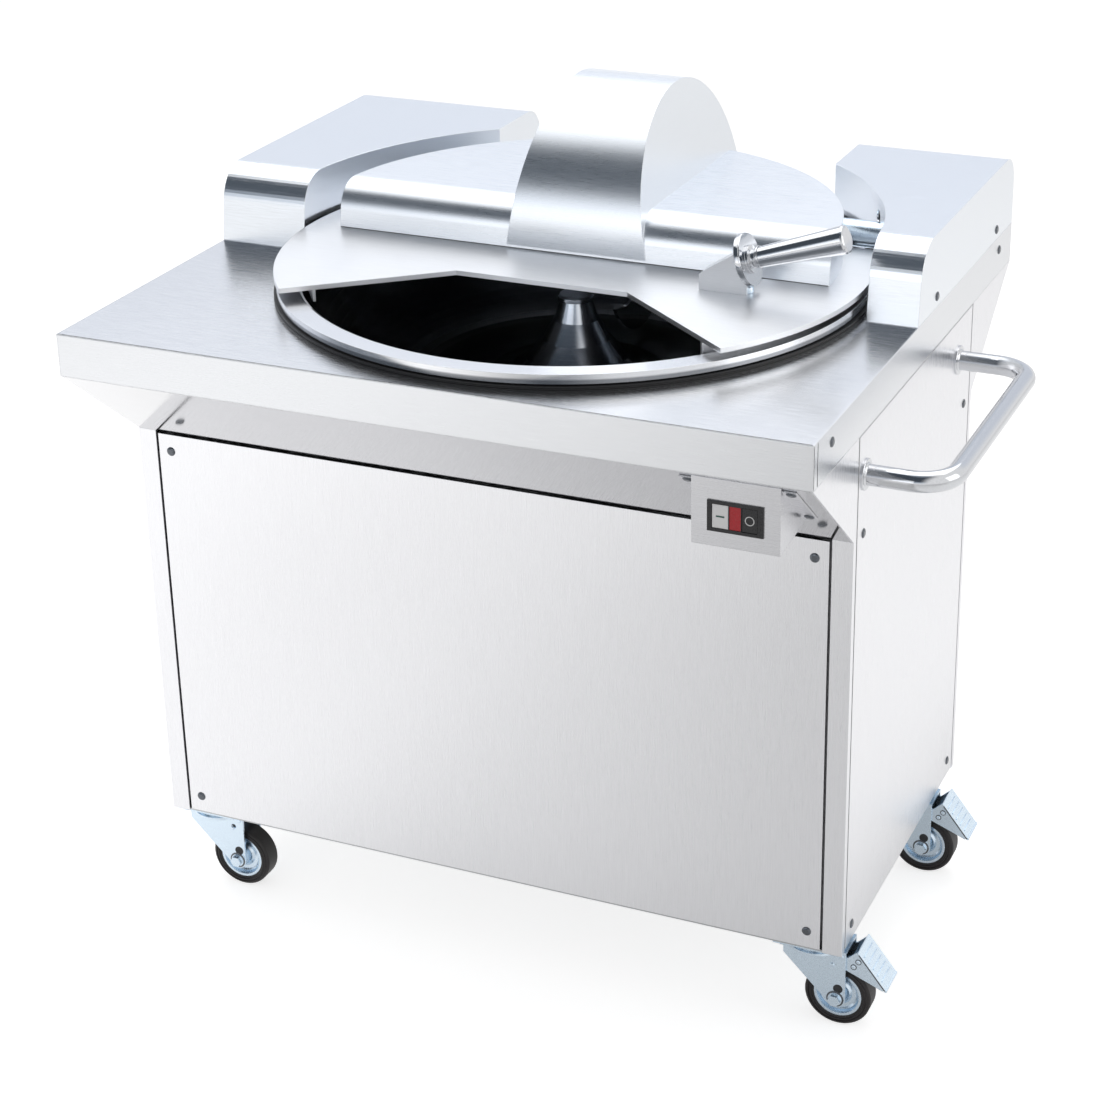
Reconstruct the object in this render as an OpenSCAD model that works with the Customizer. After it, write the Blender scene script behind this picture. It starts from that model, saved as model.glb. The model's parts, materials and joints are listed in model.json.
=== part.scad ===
// Bowl cutter on casters: a cabinet with a worktop, a turning bowl, a lid with a knife cover,
// a belt-driven knife shaft, a geared bowl drive, a push handle and a switch box.
// Millimetres, +Z up. The origin is on the floor, under the middle of the machine's outer size.

/* [Worktop] */
// Width of the worktop to the left of the bowl's rim
rim_left = 115; // [110:1:150]
// Width of the worktop to the right of the bowl's rim
rim_right = 65; // [62:1:90]
// Depth of the worktop in front of the bowl's rim
rim_front = 20; // [16:1:60]
// Depth of the worktop behind the bowl's rim
rim_rear = 50; // [46:1:90]
// Height of the aprons round the worktop
apron_h = 47; // [40:1:56]
// Thickness of the worktop, cover and panel sheet
sheet = 2; // [1.5:0.5:3]
// Width of the lip turned in under the aprons
lip_w = 12; // [8:1:18]

/* [Cabinet] */
// Height from the cabinet's bottom edge to the worktop
cabinet_h = 643; // [600:1:720]
// Distance from the worktop's front edge back to the front panel
front_setback = 132; // [120:1:145]
// Distance from the worktop's rear edge in to the rear panel
rear_setback = 151; // [140:1:165]
// Height of the sloping panels under the aprons
incline_drop = 109; // [95:1:125]
// Width of a corner post, seen from the front
post_w = 22; // [18:1:30]
// Width of a corner post, seen from the side
post_side = 9; // [6:1:14]
// Gap round the cabinet's panels
panel_gap = 3; // [2:0.5:4]
// Depth of the folded edge of a panel
tray_d = 12; // [9:1:14]
// Side of the square tube of the frame
tube = 25; // [20:1:27]

/* [Housings] */
// Height of the two rear housings above the worktop
housing_h = 84; // [80:1:100]
// Distance of the housings' front edge in front of the bowl's axis
housing_ahead = 9; // [3:1:14]
// Radius of the housings' rounded front shoulder
shoulder_r = 42; // [30:1:42]
// Backward lean of the rounded fronts, in degrees
lean = 8; // [2:1:12]
// Radius of the housings' rear top edge
rear_r = 34; // [20:1:40]
// Gap between the lid and the curved housing walls
lid_gap = 7; // [6:0.5:10]
// Distance from the bowl's axis to the housings' inner ends, as a share of the rim's radius
housing_in_share = 0.65; // [0.6:0.01:0.7]

/* [Bowl] */
// Outer diameter of the bowl's rim
bowl_d = 650; // [640:2:654]
// Width of the rim's flat top
rim_w = 23; // [18:1:26]
// Height of the rim above the worktop
rim_top = 17; // [15:1:20]
// Height of the rim's outer edge
rim_edge = 10.5; // [8:0.5:12]
// Wall of the bowl
bowl_wall = 3; // [2:0.5:3.5]
// Slope of the bowl's trough where it meets the rim, in degrees
trough_angle = 64; // [62:0.5:66]
// Radius of the cap on the bowl's centre
cap_r = 20; // [17:0.5:21]
// Depth of the cap's top below the worktop
cap_depth = 13; // [11:0.5:16]
// Height of the cap
cap_h = 7; // [5:0.5:9]

/* [Knives] */
// Distance from the bowl's axis back to the knife shaft, as a share of the rim's radius
knife_back_share = 0.468; // [0.465:0.001:0.475]
// Height of the knife shaft above the worktop
knife_rise = 41; // [40:0.5:43]
// Gap between the knife tips and the bowl's trough
knife_gap = 5; // [4:0.5:10]
// Thickness of a knife
knife_t = 4; // [3:0.5:5]
// Distance between knives along the shaft
knife_pitch = 24; // [18:1:28]
// Number of knives
knife_count = 3; // [2:1:4]
// Radius of the knife shaft
shaft_r = 9; // [8:0.5:10]
// Outer radius of the shaft's bearing tube
tube_r = 15; // [14:0.5:17]

/* [Lid] */
// How far the lid stands out over the bowl's rim
lid_over = 2; // [1:0.5:4]
// Height of the lid's top face above the worktop
lid_top = 30.5; // [28:0.5:32]
// Thickness of the lid plate
lid_t = 5.5; // [4:0.5:6]
// Half the width of the straight front edge of the lid's opening, as a share of the lid's radius
mouth_half_share = 0.303; // [0.28:0.001:0.33]
// Distance of that edge in front of the bowl's axis, as a share of the lid's radius
mouth_y_share = 0.281; // [0.25:0.001:0.3]
// Angle of the opening's slanted edges, in degrees
mouth_angle = 39; // [35:1:43]
// Distance of the raised cover's end walls in from the lid's edge
cover_in = 37; // [31:1:47]
// Height of the raised cover above the lid
cover_h = 50.5; // [46:0.5:56]
// Radius of the raised cover's front shoulder
cover_shoulder = 35; // [25:1:40]
// Wall of the raised cover
cover_wall = 2.5; // [2:0.5:3]
// Gap between the knife tips and the outside of the arched knife cover
hump_room = 14; // [12:0.5:18]
// Half the width of the arched cover at the lid
hump_half = 83; // [76:1:90]
// Inward slope of its sides, as a share of height
hump_draft_share = 0.15; // [0.05:0.01:0.2]

/* [Lid handle] */
// Distance of the handle's flange to the right of the bowl's axis, as a share of the lid's radius
flange_x_share = 0.664; // [0.63:0.001:0.69]
// Distance of the handle in front of the bowl's axis
grip_y = 47; // [40:1:60]
// Height of the flange's middle above the lid
flange_z = 35.5; // [32:0.5:42]
// Upward tilt of the grip, in degrees
grip_tilt = 18; // [10:1:22]
// Radius of the flange
flange_r = 28; // [24:1:30]
// Length of the grip
grip_len = 112; // [90:1:125]
// Radius of the grip at the flange
grip_r1 = 11; // [9:0.5:13]
// Radius of the grip at its free end
grip_r2 = 15; // [13:0.5:18]

/* [Push handle] */
// How far the push handle stands out from the side
handle_out = 95; // [80:1:110]
// Radius of its tube
handle_r = 11; // [9:0.5:13]
// Radius of its bends
handle_bend = 38; // [28:1:45]
// Distance from the worktop's front edge to its front leg
handle_y1 = 165; // [162:1:180]
// Distance from the worktop's rear edge to its rear leg
handle_rear = 215; // [200:1:250]
// Depth of the push handle below the worktop
handle_drop = 95; // [75:1:110]

/* [Switch box] */
// Width of the switch box
box_w = 90; // [80:1:100]
// Height of the switch box
box_h = 70; // [64:1:74]
// Distance of the box from the worktop's right side
box_in = 32; // [28:1:60]
// Width of the switch's black frame
switch_w = 57; // [54:1:62]
// Height of the switch's black frame
switch_h = 32; // [30:1:36]
// Travel of a button
button_travel = 2; // [1:0.5:3]

/* [Casters] */
// Height of a caster above its wheel
caster_room = 33; // [32:1:38]
// Diameter of a wheel
wheel_d = 75; // [70:1:76]
// Width of a tyre
wheel_w = 25; // [20:1:26]
// Distance from the swivel axis to the wheel's axle
trail = 28; // [22:1:30]
// Distance of a caster from the cabinet's side
caster_in_x = 41; // [40:1:60]
// Distance of a front caster behind the front panel
caster_in_front = 41; // [40:1:70]
// Distance of a rear caster in front of the rear panel
caster_in_rear = 66; // [45:1:80]

/* [Drives] */
// Radius of the knife shaft's pulley
knife_pulley_r = 34; // [30:1:36]
// Radius of the motor's pulley
motor_pulley_r = 45; // [38:1:50]
// Distance of the pulleys from the worktop's right side
pulley_in = 55; // [54:1:57]
// Width of a pulley
pulley_w = 30; // [28:1:32]
// Gap between the motor's rails and the frame's rear rail
motor_gap = 11; // [9:1:19]
// Height of the motor's axis above its feet
motor_rise = 90; // [85:1:100]
// Radius of the motor's body
motor_r = 78; // [65:1:80]
// Length of the motor's body
motor_len = 230; // [200:1:250]

/* [Hidden] */
$fn = 96;

// Overrun of a cut, clearance of a running fit, and gap left where curved pieces meet
cut = 1;
fit = 0.05;
gap = 0.3;
// Screw heads
head_h = 1.6;
head_r = 5;

// The machine's middle: the push handle stands out on the right, the screw heads on the left
mid_x = -(handle_out - head_h) / 2;
bowl_r = bowl_d / 2;
table_w = rim_left + bowl_d + rim_right;
table_d = rim_front + bowl_d + rim_rear;
bowl_x = (rim_left - rim_right) / 2;
half_w = table_w / 2;
caster_h = wheel_d + caster_room;
y_front = -table_d / 2;
y_rear = table_d / 2;
z_cab = caster_h;
z_top = caster_h + cabinet_h;
z_apron = z_top - apron_h;
z_slope = z_apron - incline_drop;
y_cab1 = y_front + front_setback;
y_cab2 = y_rear - rear_setback;
bowl_cy = y_front + rim_front + bowl_r;
slope_front = atan2(incline_drop, front_setback);

steel = [0.86, 0.87, 0.88];
bright = [0.93, 0.94, 0.95];
zinc = [0.72, 0.76, 0.8];
dark = [0.06, 0.06, 0.07];
paint = [0.25, 0.35, 0.45];

// Knives, trough, lid and housings all follow the bowl's rim
rim_ledge = 21.5;
rim_in = bowl_r - rim_w;
knife_back = bowl_r * knife_back_share;
trough_r = (rim_in - rim_ledge - knife_back) / sin(trough_angle);
bowl_depth = trough_r - knife_rise;
knife_r = trough_r - knife_gap;
hump_r = knife_r + hump_room;
lid_r = bowl_r + lid_over;
cover_r = lid_r - cover_in;
mouth_half = lid_r * mouth_half_share;
mouth_y = lid_r * mouth_y_share;
housing_in = bowl_r * housing_in_share;
housing_y = bowl_cy - housing_ahead;

// Bearing housing and bridge plate hang down from the bowl's hub
hub_drop = 12;
hub_bottom = -bowl_depth - hub_drop;
spindle_flange_h = 8;
boss_gap = 3;
boss_h = 32;
bridge_t = 8;
boss_top = z_top + hub_bottom - spindle_flange_h - boss_gap;
boss_z = boss_top - boss_h;
bridge_z = boss_z - bridge_t;

module placed() { translate([mid_x, 0, 0]) children(); }

module block(x0, x1, y0, y1, z0, z1) {
    translate([x0, y0, z0]) cube([x1 - x0, y1 - y0, z1 - z0]);
}

module rod_x(x0, x1, y, z, r) {
    translate([x0, y, z]) rotate([0, 90, 0]) cylinder(h = x1 - x0, r = r);
}

module rod_y(y0, y1, x, z, r) {
    translate([x, y0, z]) rotate([-90, 0, 0]) cylinder(h = y1 - y0, r = r);
}

// Extrudes an outline drawn in (y, z) along X
module extrude_x(x0, x1) {
    translate([x0, 0, 0]) rotate([90, 0, 90]) linear_extrude(x1 - x0) children();
}

// Extrudes an outline drawn in (x, z) along Y
module extrude_y(y0, y1) {
    translate([0, y1, 0]) rotate([90, 0, 0]) linear_extrude(y1 - y0) children();
}

// Round-headed screws at a list of points, standing out along a direction
module heads(points, turn) {
    for (p = points) translate(p) rotate(turn) {
        cylinder(h = head_h, r1 = head_r, r2 = head_r * head_top_share);
    }
}
head_top_share = 0.6;

// Worktop: a folded sheet with aprons, turned-in lips, the bowl's opening and the belt slot
opening_in = 15;
opening_r = bowl_r - opening_in;
seam = 0.8;
seam_in = 12;
belt_slot_room = 10;
belt_slot_y = 2 * (knife_pulley_r + belt_slot_room);

module apron_seam(side) {
    x = side > 0 ? half_w - seam / 2 : -half_w - seam / 2;
    block(x, x + seam, y_front + seam_in, y_front + seam_in + seam, z_apron - cut, z_top - seam_in);
}

module worktop() color(steel) placed() difference() {
    block(-half_w, half_w, y_front, y_rear, z_apron, z_top);
    block(-half_w + sheet, half_w - sheet, y_front + sheet, y_rear - sheet, z_apron + sheet, z_top - sheet);
    block(-half_w + lip_w, half_w - lip_w, y_front + lip_w, y_rear - lip_w, z_apron - cut, z_top - sheet);
    translate([bowl_x, bowl_cy, z_top - sheet - cut]) cylinder(h = sheet + 2 * cut, r = opening_r);
    block(pulley_x - pulley_w / 2 - sheet, pulley_x + pulley_w / 2 + sheet, knife_y - belt_slot_y / 2,
        knife_y + belt_slot_y / 2, z_top - sheet - cut, z_top + cut);
    for (side = [-1, 1]) apron_seam(side);
}

// Corner posts: folded strips that widen into the gussets closing the sloping panels' ends
module post(side, setback, front) {
    y0 = front ? y_front : y_rear;
    dir = front ? 1 : -1;
    ya = y0 + dir * setback;
    yb = ya + dir * post_side;
    xo = side * half_w;
    xi = side * (half_w - sheet);
    extrude_x(min(xo, xi), max(xo, xi))
        polygon([[y0, z_apron], [yb, z_apron], [yb, z_cab], [ya, z_cab], [ya, z_slope]]);
    block(min(xi, side * (half_w - post_w)), max(xi, side * (half_w - post_w)),
        min(ya, ya + dir * sheet), max(ya, ya + dir * sheet), z_cab, z_slope);
}

module corner_posts() color(steel) placed() for (side = [-1, 1]) {
    post(side, front_setback, true);
    post(side, rear_setback, false);
}

// Sloping panels under the front and rear aprons
module slope_sheet(y0, y1) {
    step = (y1 > y0 ? 1 : -1) * sheet / sin(atan2(incline_drop, abs(y1 - y0)));
    polygon([[y0, z_apron], [y1, z_slope], [y1 + step, z_slope], [y0 + step, z_apron]]);
}

module incline_panels() color(steel) placed() {
    extrude_x(-half_w + sheet, half_w - sheet) slope_sheet(y_front, y_cab1);
    extrude_x(-half_w + sheet, half_w - sheet) slope_sheet(y_rear, y_cab2);
}

// Cabinet panels: trays with their edges folded in
panel_x = half_w - post_w - panel_gap;
panel_z1 = z_cab + panel_gap;
panel_z2 = z_slope - panel_gap;
side_y1 = y_cab1 + post_side + panel_gap;
side_y2 = y_cab2 - post_side - panel_gap;
side_z2 = z_apron - panel_gap / 3;

module front_panel() color(bright) placed() difference() {
    block(-panel_x, panel_x, y_cab1, y_cab1 + tray_d, panel_z1, panel_z2);
    block(-panel_x + sheet, panel_x - sheet, y_cab1 + sheet, y_cab1 + tray_d + cut,
        panel_z1 + sheet, panel_z2 - sheet);
}

vent_count = 9;
vent_w = 120;
vent_h = 7;
vent_step = 18;
vent_up = 120;
vent_z = z_cab + vent_up;
gland_r = 8;
gland_in = 90;
gland_up = 70;
gland_x = -panel_x + gland_in;
gland_z = z_cab + gland_up;

module rear_panel() color(bright) placed() difference() {
    block(-panel_x, panel_x, y_cab2 - tray_d, y_cab2, panel_z1, panel_z2);
    block(-panel_x + sheet, panel_x - sheet, y_cab2 - tray_d - cut, y_cab2 - sheet,
        panel_z1 + sheet, panel_z2 - sheet);
    for (side = [-1, 1]) for (i = [0 : vent_count - 1])
        translate([side * panel_x / 2, y_cab2 - sheet - cut, vent_z + i * vent_step]) {
            block(-vent_w / 2, vent_w / 2, 0, sheet + 2 * cut, -vent_h / 2, vent_h / 2);
        }
    rod_y(y_cab2 - sheet - cut, y_cab2 + cut, gland_x, gland_z, gland_r + gap);
}

bolt_r = 4;

module side_panels() color(bright) placed() for (side = [-1, 1]) difference() {
    xa = side > 0 ? half_w - tray_d : -half_w;
    block(xa, xa + tray_d, side_y1, side_y2, panel_z1, side_z2);
    block(xa + (side > 0 ? -cut : sheet), xa + tray_d + (side > 0 ? -sheet : cut),
        side_y1 + sheet, side_y2 - sheet, panel_z1 + sheet, side_z2 - sheet);
    if (side > 0) for (y = handle_legs)
        rod_x(half_w - sheet - cut, half_w + cut, y, z_top - handle_drop, bolt_r + gap);
}

module floor_pan() color(steel) placed() difference() {
    block(-half_w + sheet, half_w - sheet, y_cab1 + sheet, y_cab2 - sheet, z_cab, z_cab + sheet);
    for (ix = [-pan_holes : pan_holes]) for (iy = [-1, 0, 1])
        translate([ix * pan_step, (y_cab1 + y_cab2) / 2 + iy * pan_step, z_cab - cut])
            cylinder(h = sheet + 2 * cut, r = pan_hole_r);
}
pan_holes = 3;
pan_step = 60;
pan_hole_r = 12;

// Welded frame of square tube inside the panels
frame_in = tray_d + gap;
fx = half_w - frame_in;
fy1 = y_cab1 + frame_in;
fy2 = y_cab2 - frame_in;
fz1 = z_cab + sheet;
rail_z = bridge_z - tube;
motor_rail_gap = 140;
motor_cy = fy2 - 1.5 * tube - motor_gap - motor_rail_gap / 2;

module frame_uprights() color(zinc) placed()
    for (x = [-fx, fx - tube]) for (y = [fy1, fy2 - tube])
        block(x, x + tube, y, y + tube, fz1, z_top - sheet);

module frame_long_rails() color(zinc) placed() {
    for (y = [fy1, fy2 - tube]) for (z = [fz1, rail_z])
        block(-fx + tube, fx - tube, y, y + tube, z, z + tube);
    for (dy = [-1, 1])
        translate([0, motor_cy + dy * motor_rail_gap / 2, 0])
            block(-fx + tube, fx - tube, -tube / 2, tube / 2, fz1, fz1 + tube);
}

module frame_side_rails() color(zinc) placed()
    for (x = [-fx, fx - tube]) for (z = [fz1, z_apron - tube])
        block(x, x + tube, fy1 + tube, fy2 - tube, z, z + tube);

// Outline in (y, z) of a sheet front that leans back and rounds over into a flat top.
// It starts at y = 0 on the base line, and inset draws the same outline one wall further in.
function front_cy(h, r, a) = (r + (h - r) * sin(a)) / cos(a);

module front_outline(h, r, a, depth, inset = 0) {
    cy = front_cy(h, r, a);
    ri = r - inset;
    intersection() {
        union() {
            translate([cy, h - r]) circle(r = ri);
            polygon([[inset / cos(a), 0], [cy - ri * cos(a), h - r + ri * sin(a)], [cy, h - r], [cy, 0]]);
            translate([cy, 0]) square([depth - cy, h - inset]);
        }
        square([depth, h]);
    }
}

// Points of an arc, in even steps
arc_steps = 16;

function arc_points(centre, r, a1, a2) =
    [for (i = [0 : arc_steps]) centre + r * [cos(a1 + (a2 - a1) * i / arc_steps), sin(a1 + (a2 - a1) * i / arc_steps)]];

// Outline of a housing: the same front, and a rounded rear top edge
module housing_outline(depth, inset = 0) {
    front = [front_cy(housing_h, shoulder_r, lean), housing_h - shoulder_r];
    rear = [depth - rear_r, housing_h - rear_r];
    polygon(concat([[inset / cos(lean), 0]], arc_points(front, shoulder_r - inset, 180 - lean, 90),
        arc_points(rear, rear_r - inset, 90, 0), [[depth - inset, 0]]));
}

wall_r = lid_r + lid_gap;
housing_d = y_rear - housing_y;

module bowl_axis_rod(r, z0, z1) {
    translate([bowl_x, bowl_cy, z0]) cylinder(h = z1 - z0, r = r, $fn = 180);
}

module housing(side) {
    xo = side * half_w;
    xi = bowl_x + side * housing_in;
    x0 = min(xo, xi);
    x1 = max(xo, xi);
    difference() {
        translate([0, housing_y, z_top])
            extrude_x(x0, x1) housing_outline(housing_d);
        bowl_axis_rod(wall_r, z_top - cut, z_top + housing_h + cut);
        difference() {
            translate([0, housing_y, z_top - gap])
                extrude_x(x0 + sheet, x1 - sheet) housing_outline(housing_d, sheet);
            bowl_axis_rod(wall_r + sheet, z_top - cut, z_top + housing_h + cut);
        }
    }
}

module left_housing() color(steel) placed() housing(-1);

// The right housing lets the shaft's tube in, with a notch above it
notch_r = 8;
notch_y = 7;
notch_z = 19;

module right_housing() color(steel) placed() difference() {
    housing(1);
    rod_x(bowl_x + housing_in + sheet, tube_right, knife_y, knife_z, tube_r + gap);
    rod_x(bowl_x + housing_in + sheet, tube_right, knife_y + notch_y, knife_z + notch_z, notch_r);
}

// Black ring on the worktop under the bowl's rim
ring_h = rim_top - rim_edge - 3 * gap;
ring_under = 10;
ring_over = 3;
ring_in = bowl_r - ring_under;
ring_out = bowl_r + ring_over;

module bowl_seal_ring() color(dark) placed() translate([bowl_x, bowl_cy, z_top])
    rotate_extrude($fn = 180) difference() {
        translate([ring_in, 0]) square([ring_out - ring_in, ring_h]);
        translate([ring_out, ring_h / 2]) circle(r = ring_h / 5, $fn = 24);
    }

// Bowl: a rolled rim, a trough round in section that follows the knives, and a flared centre
trough_steps = 14;
neck_r = 17;
// Radius and height of the flared centre, as shares from its neck to the bowl's floor
flare_shares = [[0, 0], [0.1, 0.27], [0.27, 0.54], [0.5, 0.8], [0.68, 0.92], [1, 1]];
flare_share = 0.295;
flare_r = bowl_r * flare_share;
cap_sink = 1;
neck_z = -cap_depth - cap_h + cap_sink;

function trough_point(a, r) = [knife_back + r * sin(a), knife_rise - r * cos(a)];
function flare_point(s, wall) =
    [neck_r + s[0] * (flare_r - neck_r) - wall, neck_z - s[1] * (bowl_depth + neck_z) - wall];

function trough_line(r) = [for (i = [0 : trough_steps]) trough_point(trough_angle * (1 - i / trough_steps), r)];
function flare_line(wall) = [for (i = [len(flare_shares) - 1 : -1 : 0]) flare_point(flare_shares[i], wall)];

hub_r = 26;

module bowl_outline() {
    outer = concat(
        [[bowl_r, rim_top], [rim_in, rim_top], [rim_in - bowl_wall, rim_top - bowl_wall / 2]],
        trough_line(trough_r), flare_line(0),
        [[spindle_r + fit, neck_z], [spindle_r + fit, hub_bottom], [hub_r, hub_bottom],
            [hub_r, -bowl_depth - bowl_wall]],
        [for (i = [trough_steps : -1 : 0])
            trough_point(trough_angle * (1 - i / trough_steps), trough_r + bowl_wall)],
        [[rim_in + bowl_wall, rim_top - bowl_wall * 1.5], [rim_in + 2 * bowl_wall, rim_top - bowl_wall],
            [bowl_r - bowl_wall, rim_top - bowl_wall], [bowl_r - bowl_wall, rim_top - rim_edge],
            [bowl_r, rim_top - rim_edge]]);
    polygon(outer);
}

module bowl() color(bright) placed() translate([bowl_x, bowl_cy, z_top])
    rotate_extrude($fn = 180) bowl_outline();

module bowl_cap() color(bright) placed() translate([bowl_x, bowl_cy, z_top]) {
    translate([0, 0, neck_z]) cylinder(h = cap_h - cap_sink - cap_edge, r = cap_r);
    translate([0, 0, -cap_depth - cap_edge]) cylinder(h = cap_edge, r1 = cap_r, r2 = cap_r - cap_edge);
}
cap_edge = 2;

// Bowl spindle with a shoulder under the bowl's hub and a coupling end in the gearbox
spindle_r = 12;
spindle_flange_r = 30;
spindle_reach = 60;
spindle_low = bridge_z - spindle_reach;

module bowl_spindle() color(zinc) placed() translate([bowl_x, bowl_cy, 0]) {
    translate([0, 0, spindle_low]) cylinder(h = z_top + neck_z - spindle_low, r = spindle_r);
    translate([0, 0, z_top + hub_bottom - spindle_flange_h]) cylinder(h = spindle_flange_h, r = spindle_flange_r);
}

// Bridge plate, bearing housing and bearings that carry the spindle
bridge_half = 70;

module bowl_bridge() color(zinc) placed() difference() {
    block(bowl_x - bridge_half, bowl_x + bridge_half, fy1, fy2, bridge_z, bridge_z + bridge_t);
    bowl_axis_rod(bearing_r, bridge_z - cut, bridge_z + bridge_t + cut);
}

bearing_r = 21;
bearing_h = 12;
boss_wall = 9;
boss_flange_r = 52;
boss_flange_h = 8;

module bowl_bearing_housing() color(paint) placed() difference() {
    union() {
        bowl_axis_rod(boss_flange_r, boss_z, boss_z + boss_flange_h);
        bowl_axis_rod(bearing_r + boss_wall, boss_z, boss_top);
    }
    bowl_axis_rod(bearing_r, boss_z - cut, boss_top + cut);
}

module ring_bearing(z0) difference() {
    bowl_axis_rod(bearing_r - fit / 2, z0, z0 + bearing_h);
    bowl_axis_rod(spindle_r + fit, z0 - cut, z0 + bearing_h + cut);
}

module bowl_bearings() color(zinc) placed() {
    ring_bearing(boss_z);
    ring_bearing(boss_top - bearing_h);
}

// Worm gearbox under the bridge, with its own motor
gear_half = 58;
gear_h = 96;
gear_motor_r = 42;
gear_motor_len = 170;

module bowl_gearmotor() color(paint) placed() difference() {
    union() {
        block(bowl_x - gear_half, bowl_x + gear_half, bowl_cy - gear_half, bowl_cy + gear_half,
            bridge_z - gear_h, bridge_z);
        rod_x(bowl_x - gear_half - gear_motor_len, bowl_x - gear_half, bowl_cy,
            bridge_z - gear_h / 2, gear_motor_r);
        for (i = [0 : gear_fins - 1])
            rod_x(bowl_x - gear_half - gear_fin_first - (i + 0.5) * gear_fin_step,
                bowl_x - gear_half - gear_fin_first - i * gear_fin_step, bowl_cy,
                bridge_z - gear_h / 2, gear_motor_r + gear_fin);
    }
    bowl_axis_rod(spindle_r + fit, spindle_low - cut, bridge_z + cut);
}
gear_fins = 8;
gear_fin = 5;
gear_fin_first = 20;
gear_fin_step = 12;

// Knife shaft, running in a fixed tube that comes out of the right housing
knife_y = bowl_cy + knife_back;
knife_z = z_top + knife_rise;
pulley_x = half_w - pulley_in;
knives_half = (knife_count - 1) * knife_pitch / 2 + knife_t / 2;
shaft_end = 30;
tube_start = 14;
tube_stop = 3;
shaft_left = bowl_x - knives_half - shaft_end;
tube_left = bowl_x + knives_half + tube_start;
tube_right = pulley_x - pulley_w / 2 - tube_stop;
tube_in_r = 12;
shaft_bearing_len = 20;

module shaft_tube() color(zinc) placed() difference() {
    union() {
        rod_x(tube_left, tube_right, knife_y, knife_z, tube_r);
        rod_x(tube_left, tube_left + tube_collar, knife_y, knife_z, tube_r + tube_collar / 2);
    }
    rod_x(tube_left - cut, tube_right + cut, knife_y, knife_z, tube_in_r);
}
tube_collar = 8;

module shaft_bearings() color(bright) placed()
    for (x = [tube_left, tube_right - shaft_bearing_len]) difference() {
        rod_x(x, x + shaft_bearing_len, knife_y, knife_z, tube_in_r - fit / 2);
        rod_x(x - cut, x + shaft_bearing_len + cut, knife_y, knife_z, shaft_r + fit);
    }

// Bracket in the right housing that clamps the tube, standing on the worktop
bracket_t = 14;
bracket_half = 34;
bracket_foot = 8;
bracket_boss = 24;

module bearing_bracket() color(paint) placed() difference() {
    union() {
        block(tube_right - bracket_t, tube_right, knife_y - bracket_half, knife_y + bracket_half,
            z_top, z_top + bracket_foot);
        block(tube_right - bracket_t, tube_right, knife_y - bracket_boss, knife_y + bracket_boss, z_top, knife_z);
        rod_x(tube_right - bracket_t, tube_right, knife_y, knife_z, bracket_boss);
    }
    rod_x(tube_right - bracket_t - cut, tube_right + cut, knife_y, knife_z, tube_r + fit / 2);
    bowl_axis_rod(wall_r + sheet + gap, z_top - cut, z_top + housing_h);
}

module knife_shaft() color(bright) placed() {
    rod_x(shaft_left, pulley_x + pulley_w / 2, knife_y, knife_z, shaft_r);
    for (i = [0 : knife_count]) spacer(i);
}

// Spacers between the knives, an end spacer beside the nut and a collar beside the tube
spacer_r = 26;
end_spacer_r = 22;
end_spacer_len = 8;
collar_len = 10;

function knife_x(i) = bowl_x - knives_half + knife_t / 2 + i * knife_pitch;

module spacer(i) {
    x0 = i == 0 ? knife_x(0) - knife_t / 2 - end_spacer_len : knife_x(i - 1) + knife_t / 2 + fit;
    x1 = i == knife_count ? x0 + collar_len : knife_x(i) - knife_t / 2 - fit;
    rod_x(x0, x1, knife_y, knife_z, i == knife_count || i == 0 ? end_spacer_r : spacer_r);
}

// Sickle knives, turned evenly round the shaft
blade_r_share = 0.64;
blade_r = knife_r * blade_r_share;
blade_cut_share = [0.28, 0.42];

module blade() difference() {
    union() {
        difference() {
            translate([knife_r - blade_r, 0]) circle(r = blade_r);
            translate([knife_r * blade_cut_share[0], -knife_r * blade_cut_share[1]]) circle(r = blade_r);
        }
        circle(r = spacer_r);
    }
    circle(r = shaft_r + fit / 2);
}

module knives() color(bright) placed()
    for (i = [0 : knife_count - 1])
        translate([knife_x(i), knife_y, knife_z]) rotate([i * 360 / knife_count, 0, 0])
            extrude_x(-knife_t / 2, knife_t / 2) blade();

nut_r = 17;
nut_len = 16;

module knife_nut() color(bright) placed() difference() {
    translate([knife_x(0) - knife_t / 2 - end_spacer_len - nut_len, knife_y, knife_z]) rotate([0, 90, 0])
        cylinder(h = nut_len, r = nut_r, $fn = 6);
    rod_x(shaft_left - cut, knife_x(0), knife_y, knife_z, shaft_r + fit / 2);
}

// Belt drive: two V belts from the motor in the cabinet up to the knife shaft
motor_z = fz1 + tube + motor_rise;
groove_w = 11;
groove_d = 8;
groove_step = 14;
belt_dy = knife_y - motor_cy;
belt_dz = knife_z - motor_z;
belt_len = sqrt(belt_dy * belt_dy + belt_dz * belt_dz);
belt_turn = atan2(belt_dz, belt_dy);
belt_wrap = asin((motor_pulley_r - knife_pulley_r) / belt_len);

// Half outline of a pulley with its grooves, drawn as (radius, place along the axis)
module pulley_outline(r, bore) difference() {
    translate([bore, -pulley_w / 2]) square([r - bore, pulley_w]);
    for (side = [-1, 1]) translate([r, side * groove_step / 2])
        polygon([[cut, -groove_w / 2 - cut / 3], [-groove_d, -groove_w / 3], [-groove_d, groove_w / 3],
            [cut, groove_w / 2 + cut / 3]]);
}

module pulley(r, bore) rotate([0, 90, 0]) rotate_extrude() pulley_outline(r, bore);

module knife_pulley() color(zinc) placed() translate([pulley_x, knife_y, knife_z])
    pulley(knife_pulley_r, shaft_r + fit / 2);

motor_shaft_r = 12;

module motor_pulley() color(zinc) placed() {
    translate([pulley_x, motor_cy, motor_z]) pulley(motor_pulley_r, motor_shaft_r + fit / 2);
    rod_x(motor_x2 - motor_stub, pulley_x + pulley_w / 2, motor_cy, motor_z, motor_shaft_r);
}

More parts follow.
